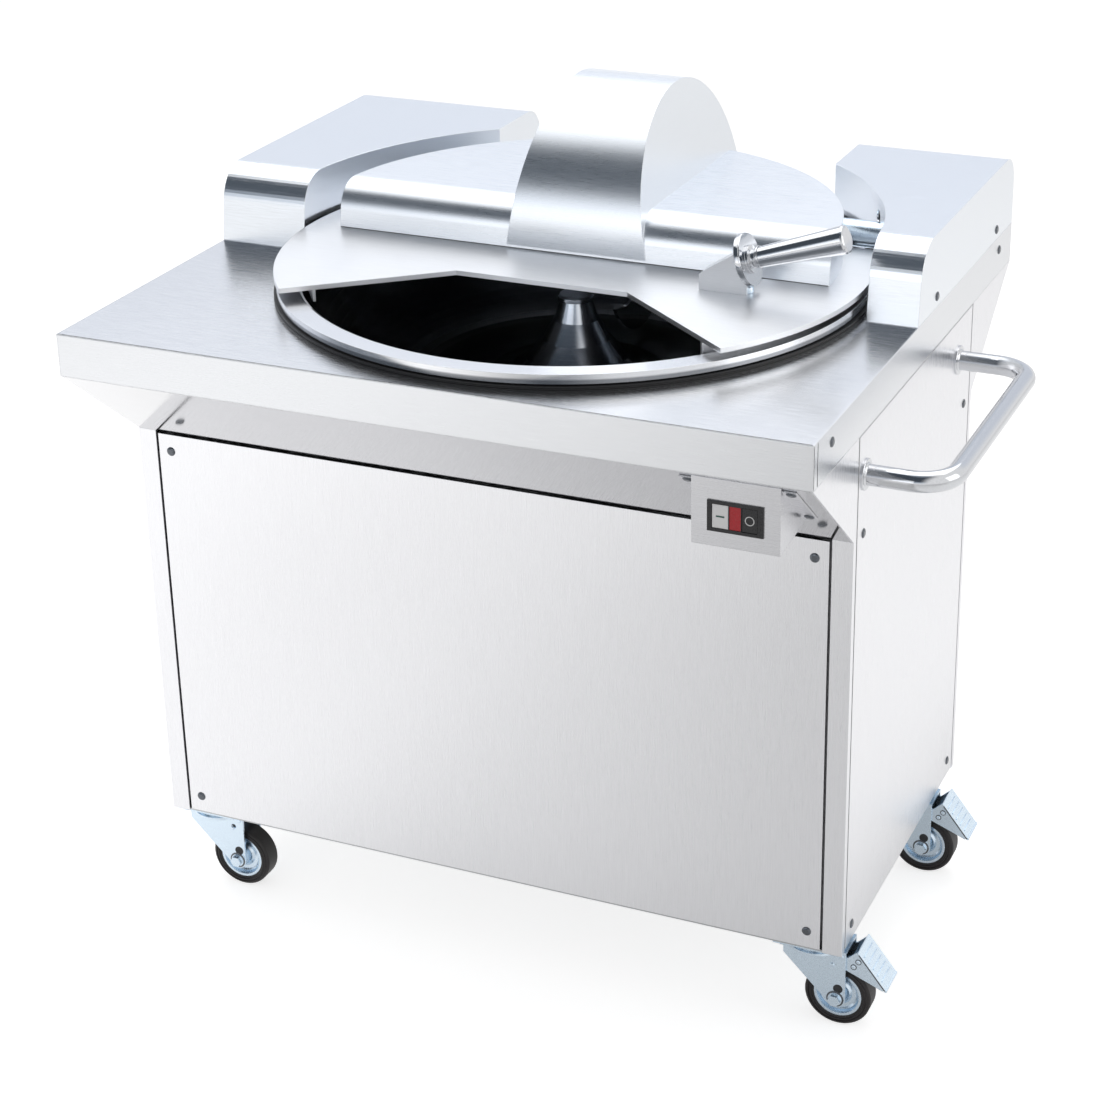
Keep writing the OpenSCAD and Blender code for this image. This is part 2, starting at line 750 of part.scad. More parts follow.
// Belts have a wide back and a narrow foot, and keep clear of the grooves
belt_back_w = 8.6;
belt_foot_w = 6.6;
belt_back_h = 3.5;
groove_clear = 0.6;
belt_h = groove_d - groove_clear;

// Loop round both pulleys, in the plane of the belt, with the motor pulley at the origin
module loop_2d(depth) {
    a = 90 - belt_wrap;
    polygon(concat(arc_points([0, 0], motor_pulley_r - depth, a, 360 - a),
        arc_points([belt_len, 0], knife_pulley_r - depth, -a, a)));
}

module belt_layer(d1, d2, w) {
    translate([0, 0, -w / 2]) linear_extrude(w) difference() {
        loop_2d(d1);
        loop_2d(d2);
    }
}

module drive_belts() color(dark) placed()
    for (side = [-1, 1])
        translate([pulley_x + side * groove_step / 2, motor_cy, motor_z])
            rotate([belt_turn, 0, 0]) rotate([90, 0, 90]) {
                belt_layer(0, belt_back_h, belt_back_w);
                belt_layer(belt_back_h, belt_h, belt_foot_w);
            }

// Knife motor on its feet
motor_face = 20;
motor_x2 = pulley_x - pulley_w / 2 - motor_face;
motor_x1 = motor_x2 - motor_len;
motor_fins = 14;
motor_fin = 6;
motor_stub = 12;
foot_h = 10;

module knife_motor() color(paint) placed() difference() {
    union() {
        rod_x(motor_x1, motor_x2, motor_cy, motor_z, motor_r);
        for (i = [0 : motor_fins - 1])
            rod_x(motor_x1 + (i + 0.5) * motor_len / motor_fins, motor_x1 + (i + 1) * motor_len / motor_fins - cut,
                motor_cy, motor_z, motor_r + motor_fin);
        for (dy = [-1, 1])
            block(motor_x1 + motor_len / 5, motor_x2 - motor_len / 5,
                motor_cy + dy * motor_rail_gap / 2 - tube / 2, motor_cy + dy * motor_rail_gap / 2 + tube / 2,
                fz1 + tube, fz1 + tube + foot_h);
        block(motor_x1 + motor_len / 5, motor_x2 - motor_len / 5, motor_cy - motor_rail_gap / 2 - tube / 2,
            motor_cy + motor_rail_gap / 2 + tube / 2, fz1 + tube + foot_h, motor_z - motor_r / 2);
    }
    rod_x(motor_x2 - motor_stub - cut, motor_x2 + cut, motor_cy, motor_z, motor_shaft_r + fit);
}

// Lid plate: a disc with the front mouth cut out, open under the raised cover, with a skirt
lid_low = lid_top - lid_t;
skirt_in = 11;
skirt_out = rim_in - skirt_in;
skirt_t = 3;
skirt_h = 13;
tube_clear = 5;
notch_room = 12;
notch_half = tube_r + notch_room;

module mouth_2d() {
    reach = lid_r;
    dx = reach * cos(mouth_angle);
    dy = reach * sin(mouth_angle);
    polygon([[-mouth_half, -mouth_y], [mouth_half, -mouth_y], [mouth_half + dx, -mouth_y - dy],
        [mouth_half + dx, -2 * lid_r], [-mouth_half - dx, -2 * lid_r], [-mouth_half - dx, -mouth_y - dy]]);
}

// Footprint of the raised cover and the arched cover, one wall in
module cover_2d(inset) {
    intersection() {
        circle(r = cover_r - inset);
        translate([-cover_r, inset]) square([2 * cover_r, cover_r]);
    }
    translate([-hump_half + inset, knife_back - hump_r + inset])
        square([2 * (hump_half - inset), 2 * (hump_r - inset)]);
}

// Way for the fixed tube out of the lid on the right
module tube_way_2d() {
    translate([0, knife_back - tube_r - tube_clear]) square([lid_r + cut, 2 * tube_r + 3 * tube_clear]);
}

module lid_plate() color(steel) placed() translate([bowl_x, bowl_cy, z_top]) {
    translate([0, 0, lid_low]) linear_extrude(lid_t) difference() {
        circle(r = lid_r, $fn = 180);
        mouth_2d();
        cover_2d(cover_wall * 2);
        tube_way_2d();
    }
    translate([0, 0, lid_low - skirt_h]) linear_extrude(skirt_h) difference() {
        circle(r = skirt_out, $fn = 180);
        circle(r = skirt_out - skirt_t, $fn = 180);
        mouth_2d();
        cover_2d_hump();
        tube_way_2d();
    }
}

module cover_2d_hump() {
    translate([-hump_half, 0]) square([2 * hump_half, cover_r + lid_r]);
}

// Raised cover with the arched knife cover in its middle, as one welded shell
hump_top = knife_rise - lid_top + hump_r;

module hump_solid(inset) {
    intersection() {
        translate([-hump_half, knife_back, knife_rise - lid_top]) rotate([0, 90, 0])
            cylinder(h = 2 * hump_half, r = hump_r - inset, $fn = 180);
        extrude_y(knife_back - hump_r - cut, knife_back + hump_r + cut)
            polygon([[-hump_half + inset, 0], [hump_half - inset, 0],
                [hump_half - inset - hump_draft_share * (hump_top + cut), hump_top + cut],
                [-hump_half + inset + hump_draft_share * (hump_top + cut), hump_top + cut]]);
    }
}

module cover_solid(inset) {
    intersection() {
        extrude_x(-cover_r, cover_r) front_outline(cover_h, cover_shoulder, lean, cover_r + cut, inset);
        cylinder(h = cover_h, r = cover_r - inset, $fn = 180);
    }
}

module lid_cover() color(steel) placed() translate([bowl_x, bowl_cy, z_top + lid_top]) difference() {
    union() {
        cover_solid(0);
        hump_solid(0);
    }
    translate([0, 0, -gap]) {
        cover_solid(cover_wall);
        hump_solid(cover_wall);
    }
    translate([0, 0, -cut]) linear_extrude(cut) difference() {
        cover_2d(cover_wall);
        cover_2d(cover_wall * 2);
    }
    translate([0, knife_back, 0]) {
        block(hump_half, cover_r + cut, -notch_half, notch_half, -cut, knife_rise - lid_top);
        rod_x(hump_half, cover_r + cut, 0, knife_rise - lid_top, notch_half);
    }
}

// Lid handle: a wedge on the lid, a flange and a tapered grip
wedge_len = 51;
wedge_h1 = 20;
wedge_h2 = 47;
wedge_t = 22;
wedge_foot = 2;
wedge_edge = 3;
flange_t = 5;
flange_x = lid_r * flange_x_share;

module handle_bracket() color(steel) placed() translate([bowl_x, bowl_cy - grip_y, z_top + lid_top]) {
    back = flange_t / 2 / cos(grip_tilt);
    top_x = flange_x - back - (wedge_h2 - flange_z) * tan(grip_tilt);
    low_x = flange_x + wedge_foot;
    low_z = flange_z - (wedge_foot + back) / tan(grip_tilt);
    extrude_y(-wedge_t / 2, wedge_t / 2)
        polygon([[flange_x - wedge_len, 0], [low_x, 0], [low_x, low_z], [top_x, wedge_h2],
            [flange_x - wedge_len + wedge_edge, wedge_h1], [flange_x - wedge_len, wedge_h1 - wedge_edge]]);
}

// Collar on the flange, neck beside it and rounded end of the grip
grip_collar = 4;
grip_collar_len = 3;
grip_neck = 1;
grip_neck_len = 9;
grip_end = 3;

module handle_grip() color(bright) placed()
    translate([bowl_x + flange_x, bowl_cy - grip_y, z_top + lid_top + flange_z]) rotate([0, 90 - grip_tilt, 0])
        rotate_extrude() polygon([[0, -flange_t / 2], [flange_r, -flange_t / 2], [flange_r, flange_t / 2],
            [grip_r1 + grip_collar, flange_t / 2], [grip_r1 + grip_collar, flange_t / 2 + grip_collar_len],
            [grip_r1 - grip_neck, flange_t / 2 + grip_collar_len + grip_neck],
            [grip_r1 - grip_neck, flange_t / 2 + grip_neck_len - grip_neck],
            [grip_r1, flange_t / 2 + grip_neck_len], [grip_r2, grip_len - grip_end],
            [grip_r2 - grip_end / 3, grip_len - grip_end / 3], [grip_r2 - grip_end, grip_len], [0, grip_len]]);

// Lid hinge behind the lid: two lugs on the lid between the cheeks of two brackets
hinge_back = 23;
hinge_up = 21.5;
hinge_y = lid_r + hinge_back;
hinge_z = lid_top + hinge_up;
hinge_x = 34;
lug_t = 14;
lug_r = 11;
lug_y = knife_back + hump_r + gap;
lug_h = 26;
lug_in = 4;
lug_under = 5;
pin_r = 5;
pin_out = 2;
pin_head = 3;
cheek_t = 6;

module lug_2d() difference() {
    union() {
        translate([hinge_y, hinge_up]) circle(r = lug_r);
        polygon([[lug_y, 0], [lid_r - lug_in, 0], [hinge_y + lug_r - lug_in / 2, hinge_up - lug_r + lug_under],
            [hinge_y, hinge_up + lug_r], [lug_y, lug_h]]);
    }
    translate([hinge_y, hinge_up]) circle(r = pin_r + fit);
}

module lid_lugs() color(steel) placed() translate([bowl_x, bowl_cy, z_top + lid_top])
    for (side = [-1, 1]) extrude_x(side * hinge_x - lug_t / 2, side * hinge_x + lug_t / 2) lug_2d();

module cheek_2d() difference() {
    union() {
        translate([hinge_y, hinge_z]) circle(r = lug_r);
        translate([hinge_y - lug_r, 0]) square([2 * lug_r, hinge_z]);
    }
    translate([hinge_y, hinge_z]) circle(r = pin_r + fit / 2);
}

module hinge_bracket(x) {
    for (side = [-1, 1]) {
        x0 = x + side * (lug_t / 2 + gap + cheek_t / 2) - cheek_t / 2;
        extrude_x(x0, x0 + cheek_t) cheek_2d();
    }
    translate([x, hinge_y, 0]) {
        block(-lug_t / 2 - gap - cheek_t, lug_t / 2 + gap + cheek_t, -lug_r, lug_r, 0, cheek_t);
    }
}

module hinge_pin(x) {
    half = lug_t / 2 + gap + cheek_t + pin_out;
    rod_x(x - half, x + half, hinge_y, hinge_z, pin_r);
    rod_x(x + half, x + half + pin_head, hinge_y, hinge_z, pin_r + pin_head);
    rod_x(x - half - pin_head, x - half, hinge_y, hinge_z, pin_r + pin_head);
}

module hinge_brackets() color(zinc) placed() translate([bowl_x, bowl_cy, z_top])
    for (side = [-1, 1]) {
        hinge_bracket(side * hinge_x);
        hinge_pin(side * hinge_x);
    }

// Push handle: a bent tube, bolted on from inside the panel
handle_legs = [y_front + handle_y1, y_rear - handle_rear];
handle_bore = 24;
bolt_short = 2;

module push_handle() color(bright) placed() translate([half_w, 0, z_top - handle_drop]) {
    xo = handle_out - handle_r;
    for (y = handle_legs) difference() {
        rod_x(0, xo - handle_bend, y, 0, handle_r);
        rod_x(-cut, handle_bore, y, 0, bolt_r + fit);
    }
    rod_y(handle_legs[0] + handle_bend, handle_legs[1] - handle_bend, xo, 0, handle_r);
    translate([xo - handle_bend, handle_legs[0] + handle_bend, 0]) rotate([0, 0, -90])
        rotate_extrude(angle = 90) translate([handle_bend, 0]) circle(r = handle_r);
    translate([xo - handle_bend, handle_legs[1] - handle_bend, 0])
        rotate_extrude(angle = 90) translate([handle_bend, 0]) circle(r = handle_r);
}

module handle_bolts() color(zinc) placed() translate([half_w, 0, z_top - handle_drop])
    for (y = handle_legs) {
        rod_x(-sheet, handle_bore - bolt_short, y, 0, bolt_r);
        rod_x(-sheet - 2 * bolt_r, -sheet, y, 0, 2 * bolt_r);
    }

// Switch box: a wedge shell under the front apron, with a screw tab each side on the slope
box_front = y_front + sheet;
box_x2 = half_w - box_in;
box_x1 = box_x2 - box_w;
box_low = 2;
box_z2 = z_apron - gap;
box_z1 = z_apron - box_h - box_low;
box_sheet = 1.5;
tab_w = 14;
switch_low = 3;
switch_x = box_x1 + (box_w - switch_w) / 2;
switch_z = box_z1 + (box_h - switch_h) / 2 - switch_low;
switch_open = 3;

function slope_y(z) = y_front + (z_apron - z) / tan(slope_front);

module box_outline(inset) {
    zl = box_z1 + inset;
    polygon([[box_front + inset, box_z2 - inset], [box_front + inset, zl], [slope_y(zl + box_rise) - gap, zl + box_rise],
        [slope_y(box_z2 - inset) - gap + inset, box_z2 - inset]]);
}
box_rise = 6;

module on_front_slope() {
    translate([0, y_front, z_apron]) rotate([-slope_front, 0, 0]) children();
}

module switch_box() color(steel) placed() {
    difference() {
        extrude_x(box_x1, box_x2) box_outline(0);
        extrude_x(box_x1 + box_sheet, box_x2 - box_sheet) box_outline(box_sheet);
        on_front_slope() block(box_x1 + box_sheet, box_x2 - box_sheet, box_sheet * 4, box_deep - box_sheet * 3,
            -box_sheet * 2, box_sheet);
        block(switch_x + switch_open, switch_x + switch_w - switch_open, box_front - cut, box_front + box_sheet + cut,
            switch_z + switch_open, switch_z + switch_h - switch_open);
    }
    on_front_slope() {
        block(box_x2, box_x2 + tab_w, tab_first, box_deep - tab_last, -box_sheet - gap, -gap);
        block(box_x1 - tab_w, box_x1, tab_first, box_deep - tab_last, -box_sheet - gap, -gap);
    }
}
box_deep = (box_h + box_low - box_rise) / sin(slope_front);
tab_first = 8;
tab_last = 10;

// Switch: a black frame with a start button, a red lamp strip and a stop button
frame_out = 1.5;
frame_deep = 22;
recess_d = 4;
start_share = [0.09, 0.375];
lamp_share = [0.395, 0.6];
stop_share = [0.62, 0.89];
button_z_share = [0.12, 0.88];
key_clear = 0.4;

module switch_slot(share, grow, y0, y1) {
    block(switch_x + share[0] * switch_w - grow, switch_x + share[1] * switch_w + grow, y0, y1,
        switch_z + button_z_share[0] * switch_h - grow, switch_z + button_z_share[1] * switch_h + grow);
}

module switch_frame() color(dark) placed() difference() {
    union() {
        block(switch_x, switch_x + switch_w, box_front - frame_out, box_front, switch_z, switch_z + switch_h);
        block(switch_x + switch_open + gap, switch_x + switch_w - switch_open - gap, box_front,
            box_front + frame_deep, switch_z + switch_open + gap, switch_z + switch_h - switch_open - gap);
    }
    for (share = [start_share, stop_share])
        switch_slot(share, key_clear, box_front - frame_out - cut, box_front + frame_deep - box_sheet);
    switch_slot(lamp_share, 0, box_front - frame_out - cut, box_front + recess_d);
}

module switch_lamp() color("red") placed()
    switch_slot(lamp_share, 0, box_front - frame_out + cut / 2, box_front + recess_d);

key_low = box_front - frame_out + cut / 2;
key_high = box_front + frame_deep - box_sheet - button_travel - gap;

module start_button() color("white") placed() switch_slot(start_share, 0, key_low, key_high);

module stop_button() color(dark) placed() switch_slot(stop_share, 0, key_low, key_high);

// Casters, each drawn with its swivel axis at the origin and the floor at zero
plate_half = 38;
plate_t = 2.5;
cup_r = 27;
cup_h = 6.5;
king_r = 5;
king_head_r = 9;
king_head_h = 3.5;
crown_t = 3;
crown_r = 34;
axle_r = 4;
axle_z = wheel_d / 2;
leg_t = 2.5;
leg_room = 4.5;
leg_in = wheel_w / 2 + leg_room;
leg_r = 11;
leg_drop = 12;
leg_slant_share = [0.91, 0.36];
crown_in = 2;
crown_z = caster_h - plate_t - cup_h - gap - crown_t;
caster_bolt = 29;
caster_bolt_r = 5;
caster_bolt_h = 4;

module at_caster(side, front) {
    x = side * (half_w - caster_in_x);
    y = front ? y_cab1 + caster_in_front : y_cab2 - caster_in_rear;
    translate([x, y, 0]) children();
}

module caster_plate() {
    block(-plate_half, plate_half, -plate_half, plate_half, caster_h - plate_t, caster_h);
    translate([0, 0, caster_h - plate_t - cup_h]) cylinder(h = cup_h, r = cup_r);
    translate([0, 0, crown_z - gap]) cylinder(h = cup_h + crown_t + 2 * gap, r = king_r);
    translate([0, 0, crown_z - gap - king_head_h]) cylinder(h = king_head_h, r = king_head_r);
    for (x = [-1, 1]) for (y = [-1, 1]) translate([x * caster_bolt, y * caster_bolt, caster_h - plate_t - caster_bolt_h])
        cylinder(h = caster_bolt_h, r = caster_bolt_r, $fn = 6);
}

module caster_plates() color(zinc) placed()
    for (side = [-1, 1]) for (front = [true, false]) at_caster(side, front) caster_plate();

module leg_2d() difference() {
    union() {
        polygon([[-crown_r + crown_in, crown_z + crown_t], [trail + leg_r, crown_z + crown_t], [trail + leg_r, axle_z],
            [trail, axle_z] - leg_r * leg_slant_share, [-crown_r + crown_in, crown_z - leg_drop]]);
        translate([trail, axle_z]) circle(r = leg_r);
    }
    translate([trail, axle_z]) circle(r = axle_r + fit / 2);
    translate([pedal_x, pedal_z]) circle(r = pedal_pin_r + fit);
}

// Axle bolt: its head and washer in front of the fork, its nut's thread behind
axle_out = 6;
washer_t = 1;
washer_r = 8;
axle_head_h = 5;
axle_head_r = 7;

module fork() {
    difference() {
        union() {
            translate([0, 0, crown_z]) cylinder(h = crown_t, r = crown_r);
            block(-crown_r + crown_in, trail + leg_r, -leg_in - leg_t, leg_in + leg_t, crown_z, crown_z + crown_t);
            for (side = [-1, 1]) extrude_y(side * (leg_in + leg_t / 2) - leg_t / 2, side * (leg_in + leg_t / 2) + leg_t / 2)
                leg_2d();
        }
        translate([0, 0, crown_z - cut]) cylinder(h = crown_t + 2 * cut, r = king_r + fit);
    }
    half = leg_in + leg_t;
    rod_y(-half - washer_t, half + axle_out, trail, axle_z, axle_r);
    translate([trail, -half - washer_t, axle_z]) rotate([90, 0, 0])
        cylinder(h = axle_head_h, r = axle_head_r, $fn = 6);
    rod_y(-half - washer_t, -half, trail, axle_z, washer_r);
}

module fork_fl() color(zinc) placed() at_caster(-1, true) fork();
module fork_fr() color(zinc) placed() at_caster(1, true) fork();
module fork_rl() color(zinc) placed() at_caster(-1, false) fork();
module fork_rr() color(zinc) placed() at_caster(1, false) fork();

// Wheel: a steel hub with dished sides and a rubber tyre with rounded shoulders
hub_out = 27;
hub_rim = 4;
hub_in = 2;
hub_half = wheel_w / 2 - hub_in;
hub_len = leg_in - hub_in;
hub_boss = 10;
web_half = 4;

module hub() translate([trail, 0, axle_z]) rotate([90, 0, 0]) rotate_extrude()
    polygon([[axle_r + fit, -hub_len], [hub_boss, -hub_len], [hub_boss, -web_half],
        [hub_out - hub_rim, -web_half], [hub_out - hub_rim * 0.75, -hub_half], [hub_out, -hub_half],
        [hub_out, hub_half], [hub_out - hub_rim * 0.75, hub_half], [hub_out - hub_rim, web_half],
        [hub_boss, web_half], [hub_boss, hub_len], [axle_r + fit, hub_len]]);

tyre_shoulder = 3;

module tyre() translate([trail, 0, axle_z]) rotate([90, 0, 0]) rotate_extrude()
    polygon([[hub_out, -hub_half], [wheel_d / 2 - 2 * tyre_shoulder, -wheel_w / 2],
        [wheel_d / 2 - tyre_shoulder / 2, -wheel_w / 2 + tyre_shoulder / 2], [wheel_d / 2, -wheel_w / 2 + tyre_shoulder],
        [wheel_d / 2, wheel_w / 2 - tyre_shoulder], [wheel_d / 2 - tyre_shoulder / 2, wheel_w / 2 - tyre_shoulder / 2],
        [wheel_d / 2 - 2 * tyre_shoulder, wheel_w / 2], [hub_out, hub_half]]);

module hub_fl() color(zinc) placed() at_caster(-1, true) hub();
module hub_fr() color(zinc) placed() at_caster(1, true) hub();
module hub_rl() color(zinc) placed() at_caster(-1, false) hub();
module hub_rr() color(zinc) placed() at_caster(1, false) hub();
module tyre_fl() color(dark) placed() at_caster(-1, true) tyre();
module tyre_fr() color(dark) placed() at_caster(1, true) tyre();
module tyre_rl() color(dark) placed() at_caster(-1, false) tyre();
module tyre_rr() color(dark) placed() at_caster(1, false) tyre();

// Brake pedal: side plates inside the fork on a cross pin, with a foot plate and a brake shoe
// riveted to them. Their outline is in steps from the pin and from the wheel's axle.
pedal_back = 2;
pedal_drop = 12;
pedal_x = trail - pedal_back;
pedal_z = crown_z - pedal_drop;
pedal_pin_r = 3;
pedal_t = 2;
pedal_side = leg_in - gap - pedal_t;
pedal_half = 20;
pin_steps = [[-6, -5], [-6, 5], [15, 8], [25, 17.5]];
wheel_steps = [[55, 23], [52, 21], [38, 27], [10, 38]];
shoe_r = 5;
shoe_step = [17, 43];
axle_at = [trail, axle_z];
pin_at = [pedal_x, pedal_z];
apex = pin_at + pin_steps[3];
tip = axle_at + wheel_steps[0];

module pedal_side_2d() difference() {
    polygon(concat([for (step = pin_steps) pin_at + step], [for (step = wheel_steps) axle_at + step]));
    translate(pin_at) circle(r = pedal_pin_r + fit / 2);
}

module foot_plate_2d() {
    run = tip - apex;
    out = [-run[1], run[0]] / norm(run);
    polygon([apex + out * gap, tip + out * gap, tip + out * (gap + pedal_t), apex + out * (gap + pedal_t)]);
}

module pedal() {
    for (side = [-1, 1]) extrude_y(side * (pedal_side + pedal_t / 2) - pedal_t / 2,
        side * (pedal_side + pedal_t / 2) + pedal_t / 2) pedal_side_2d();
    extrude_y(-pedal_half, pedal_half) foot_plate_2d();
    rod_y(-leg_in - leg_t, leg_in + leg_t, pedal_x, pedal_z, pedal_pin_r);
    rod_y(-pedal_side + gap, pedal_side - gap, trail + shoe_step[0], axle_z + shoe_step[1], shoe_r);
}

module pedal_fr() color(zinc) placed() at_caster(1, true) pedal();
module pedal_rr() color(zinc) placed() at_caster(1, false) pedal();

// Screw heads on the front, rear and side panels, the aprons, the housings and the switch box
screw_in_x = 15;
screw_in_z = 20;
apron_screw_y = 54;
apron_screw_z = 17;
housing_screw_y = 70;
housing_screw_z = 12;

module screws() color(zinc) placed() {
    fx1 = panel_x - screw_in_x;
    zs = [panel_z1 + screw_in_z, panel_z2 - screw_in_z];
    heads([for (x = [-fx1, fx1]) for (z = zs) [x, y_cab1, z]], [90, 0, 0]);
    heads([for (x = [-fx1, fx1]) for (z = zs) [x, y_cab2, z]], [-90, 0, 0]);
    for (side = [-1, 1]) {
        heads([for (y = [side_y1 + screw_in_z, side_y2 - screw_in_z]) for (z = [panel_z1 + screw_in_z, panel_z2])
            [side * half_w, y, z]], [0, side * 90, 0]);
        heads([for (y = [y_front + apron_screw_y, y_rear - apron_screw_y])
            [side * half_w, y, z_top - apron_screw_z]], [0, side * 90, 0]);
        heads([for (y = [housing_y + housing_screw_y, y_rear - housing_screw_y])
            [side * half_w, y, z_top + housing_screw_z]], [0, side * 90, 0]);
    }
    on_front_slope() heads([for (x = [box_x1 - tab_w / 2, box_x2 + tab_w / 2])
        for (y = [tab_first + tab_w / 2, box_deep - tab_last - tab_w / 2]) [x, y, -box_sheet - gap]], [180, 0, 0]);
}

// Gland for the supply cable, low in the rear panel
gland_inside = 8;
gland_outside = 16;
gland_nut = 6;
gland_nut_r = 13;

module cable_gland() color(dark) placed() difference() {
    y0 = y_cab2 - sheet - gland_inside;
    y1 = y_cab2 + gland_outside;
    union() {
        rod_y(y0, y1, gland_x, gland_z, gland_r);
        for (y = [y_cab2 + gland_nut, y_cab2 - sheet])
            translate([gland_x, y, gland_z]) rotate([90, 0, 0]) cylinder(h = gland_nut, r = gland_nut_r, $fn = 6);
    }
    rod_y(y0 - cut, y1 + cut, gland_x, gland_z, gland_r / 2);
}

worktop();
corner_posts();
incline_panels();
front_panel();
rear_panel();
side_panels();
floor_pan();
frame_uprights();
frame_long_rails();
frame_side_rails();
left_housing();
right_housing();
bowl_seal_ring();
shaft_tube();
shaft_bearings();
bearing_bracket();
knife_motor();
drive_belts();
bowl_gearmotor();
bowl_bridge();
bowl_bearing_housing();
bowl_bearings();
push_handle();
handle_bolts();
switch_box();
switch_frame();
switch_lamp();
hinge_brackets();
caster_plates();
screws();
cable_gland();
bowl();
bowl_cap();
bowl_spindle();
knife_shaft();
knives();
knife_nut();
knife_pulley();
motor_pulley();
lid_plate();
lid_cover();
handle_bracket();
handle_grip();
lid_lugs();
start_button();
stop_button();
fork_fl();
fork_fr();
fork_rl();
fork_rr();
hub_fl();
hub_fr();
hub_rl();
hub_rr();
tyre_fl();
tyre_fr();
tyre_rl();
tyre_rr();
pedal_fr();
pedal_rr();
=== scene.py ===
import bpy
import bmesh
import json
import math
from mathutils import Matrix, Vector


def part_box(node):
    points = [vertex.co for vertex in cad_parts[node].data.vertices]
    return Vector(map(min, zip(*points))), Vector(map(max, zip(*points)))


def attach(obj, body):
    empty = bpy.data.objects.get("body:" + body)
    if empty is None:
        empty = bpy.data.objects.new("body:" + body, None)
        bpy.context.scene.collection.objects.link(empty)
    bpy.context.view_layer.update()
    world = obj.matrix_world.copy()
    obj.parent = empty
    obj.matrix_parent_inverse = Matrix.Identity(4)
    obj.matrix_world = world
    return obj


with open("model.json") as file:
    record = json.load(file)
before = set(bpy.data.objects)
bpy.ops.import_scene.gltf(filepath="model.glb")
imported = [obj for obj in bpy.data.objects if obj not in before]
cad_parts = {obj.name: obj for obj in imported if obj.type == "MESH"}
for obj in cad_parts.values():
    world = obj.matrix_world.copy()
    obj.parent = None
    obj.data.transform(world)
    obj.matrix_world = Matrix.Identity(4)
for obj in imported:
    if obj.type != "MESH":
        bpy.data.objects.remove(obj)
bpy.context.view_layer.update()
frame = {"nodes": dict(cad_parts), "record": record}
nodes = frame["nodes"]
scene = bpy.context.scene
print("frame loaded:", len(nodes), "nodes")

# Camera, fitted to the photograph's frame of 1100 x 1100
cameraSet = {
    "place": (1.02272, -2.3663, 1.63947),
    "turn": (66.947, 0.7866, 23.0835),
    "photoSize": 1100,
    "focalPixels": 2481.96,
    "centrePixels": (600.2, 454.9),
    "sensor": 36.0,
    "clipEnd": 60,
}


def makeCamera():
    size = cameraSet["photoSize"]
    across, down = cameraSet["centrePixels"]
    data = bpy.data.cameras.new("photoCamera")
    data.sensor_width = cameraSet["sensor"]
    data.lens = cameraSet["sensor"] * cameraSet["focalPixels"] / size
    data.shift_x = (size / 2 - across) / size
    data.shift_y = (down - size / 2) / size
    data.clip_end = cameraSet["clipEnd"]
    cam = bpy.data.objects.new("photoCamera", data)
    cam.location = cameraSet["place"]
    cam.rotation_euler = [math.radians(angle) for angle in cameraSet["turn"]]
    scene.collection.objects.link(cam)
    scene.camera = cam


makeCamera()
scene.view_settings.view_transform = "Standard"
print("camera made")


# Small helpers for node trees
def newMaterial(name):
    mat = bpy.data.materials.new(name)
    mat.use_nodes = True
    mat.node_tree.nodes.clear()
    return mat, mat.node_tree


# An input takes a plain value or another node's output
def feed(tree, socket, value):
    if isinstance(value, bpy.types.NodeSocket):
        tree.links.new(value, socket)
    else:
        socket.default_value = value


def addNode(tree, kind, **values):
    node = tree.nodes.new(kind)
    for key, value in values.items():
        if key in node.inputs.keys():
            feed(tree, node.inputs[key], value)
        else:
            setattr(node, key, value)
    return node


# A node fed in the order of its inputs, for those whose inputs share one name
def fedNode(tree, kind, *sources, **values):
    node = addNode(tree, kind, **values)
    for socket, source in zip(node.inputs, sources):
        feed(tree, socket, source)
    return node.outputs[0]


def ramp(tree, source, stops):
    node = addNode(tree, "ShaderNodeValToRGB", Fac=source)
    band = node.color_ramp
    while len(band.elements) < len(stops):
        band.elements.new(0.5)
    for element, (place, colour) in zip(band.elements, stops):
        element.position = place
        element.color = (*colour, 1)
    return node.outputs["Color"]


def stretchedNoise(tree, scale, stretch, detail=3):
    coords = addNode(tree, "ShaderNodeTexCoord")
    mapping = addNode(tree, "ShaderNodeMapping", Vector=coords.outputs["Object"], Scale=stretch)
    noise = addNode(tree, "ShaderNodeTexNoise", Scale=scale, Detail=detail,
        Vector=mapping.outputs["Vector"])
    return noise.outputs["Fac"]


# Most of a noise's values lie within this span
noiseSpan = (0.3, 0.7)


def mapRange(tree, source, low=0, high=1, span=noiseSpan, kind="LINEAR"):
    node = addNode(tree, "ShaderNodeMapRange", interpolation_type=kind, Value=source)
    node.inputs["From Min"].default_value, node.inputs["From Max"].default_value = span
    node.inputs["To Min"].default_value = low
    node.inputs["To Max"].default_value = high
    return node.outputs["Result"]


def mixColours(tree, factor, first, second):
    mix = addNode(tree, "ShaderNodeMix", data_type="RGBA", Factor=factor, A=first, B=second)
    return mix.outputs["Result"]


bevelSamples = 4


# Ends a material: rounded edges, a fine relief, and the output
def endMaterial(tree, shader, height, depth, distance, edge):
    bevel = addNode(tree, "ShaderNodeBevel", samples=bevelSamples, Radius=edge)
    bump = addNode(tree, "ShaderNodeBump", Strength=depth, Distance=distance,
        Height=height, Normal=bevel.outputs["Normal"])
    feed(tree, shader.inputs["Normal"], bump.outputs["Normal"])
    addNode(tree, "ShaderNodeOutputMaterial", Surface=shader.outputs["BSDF"])


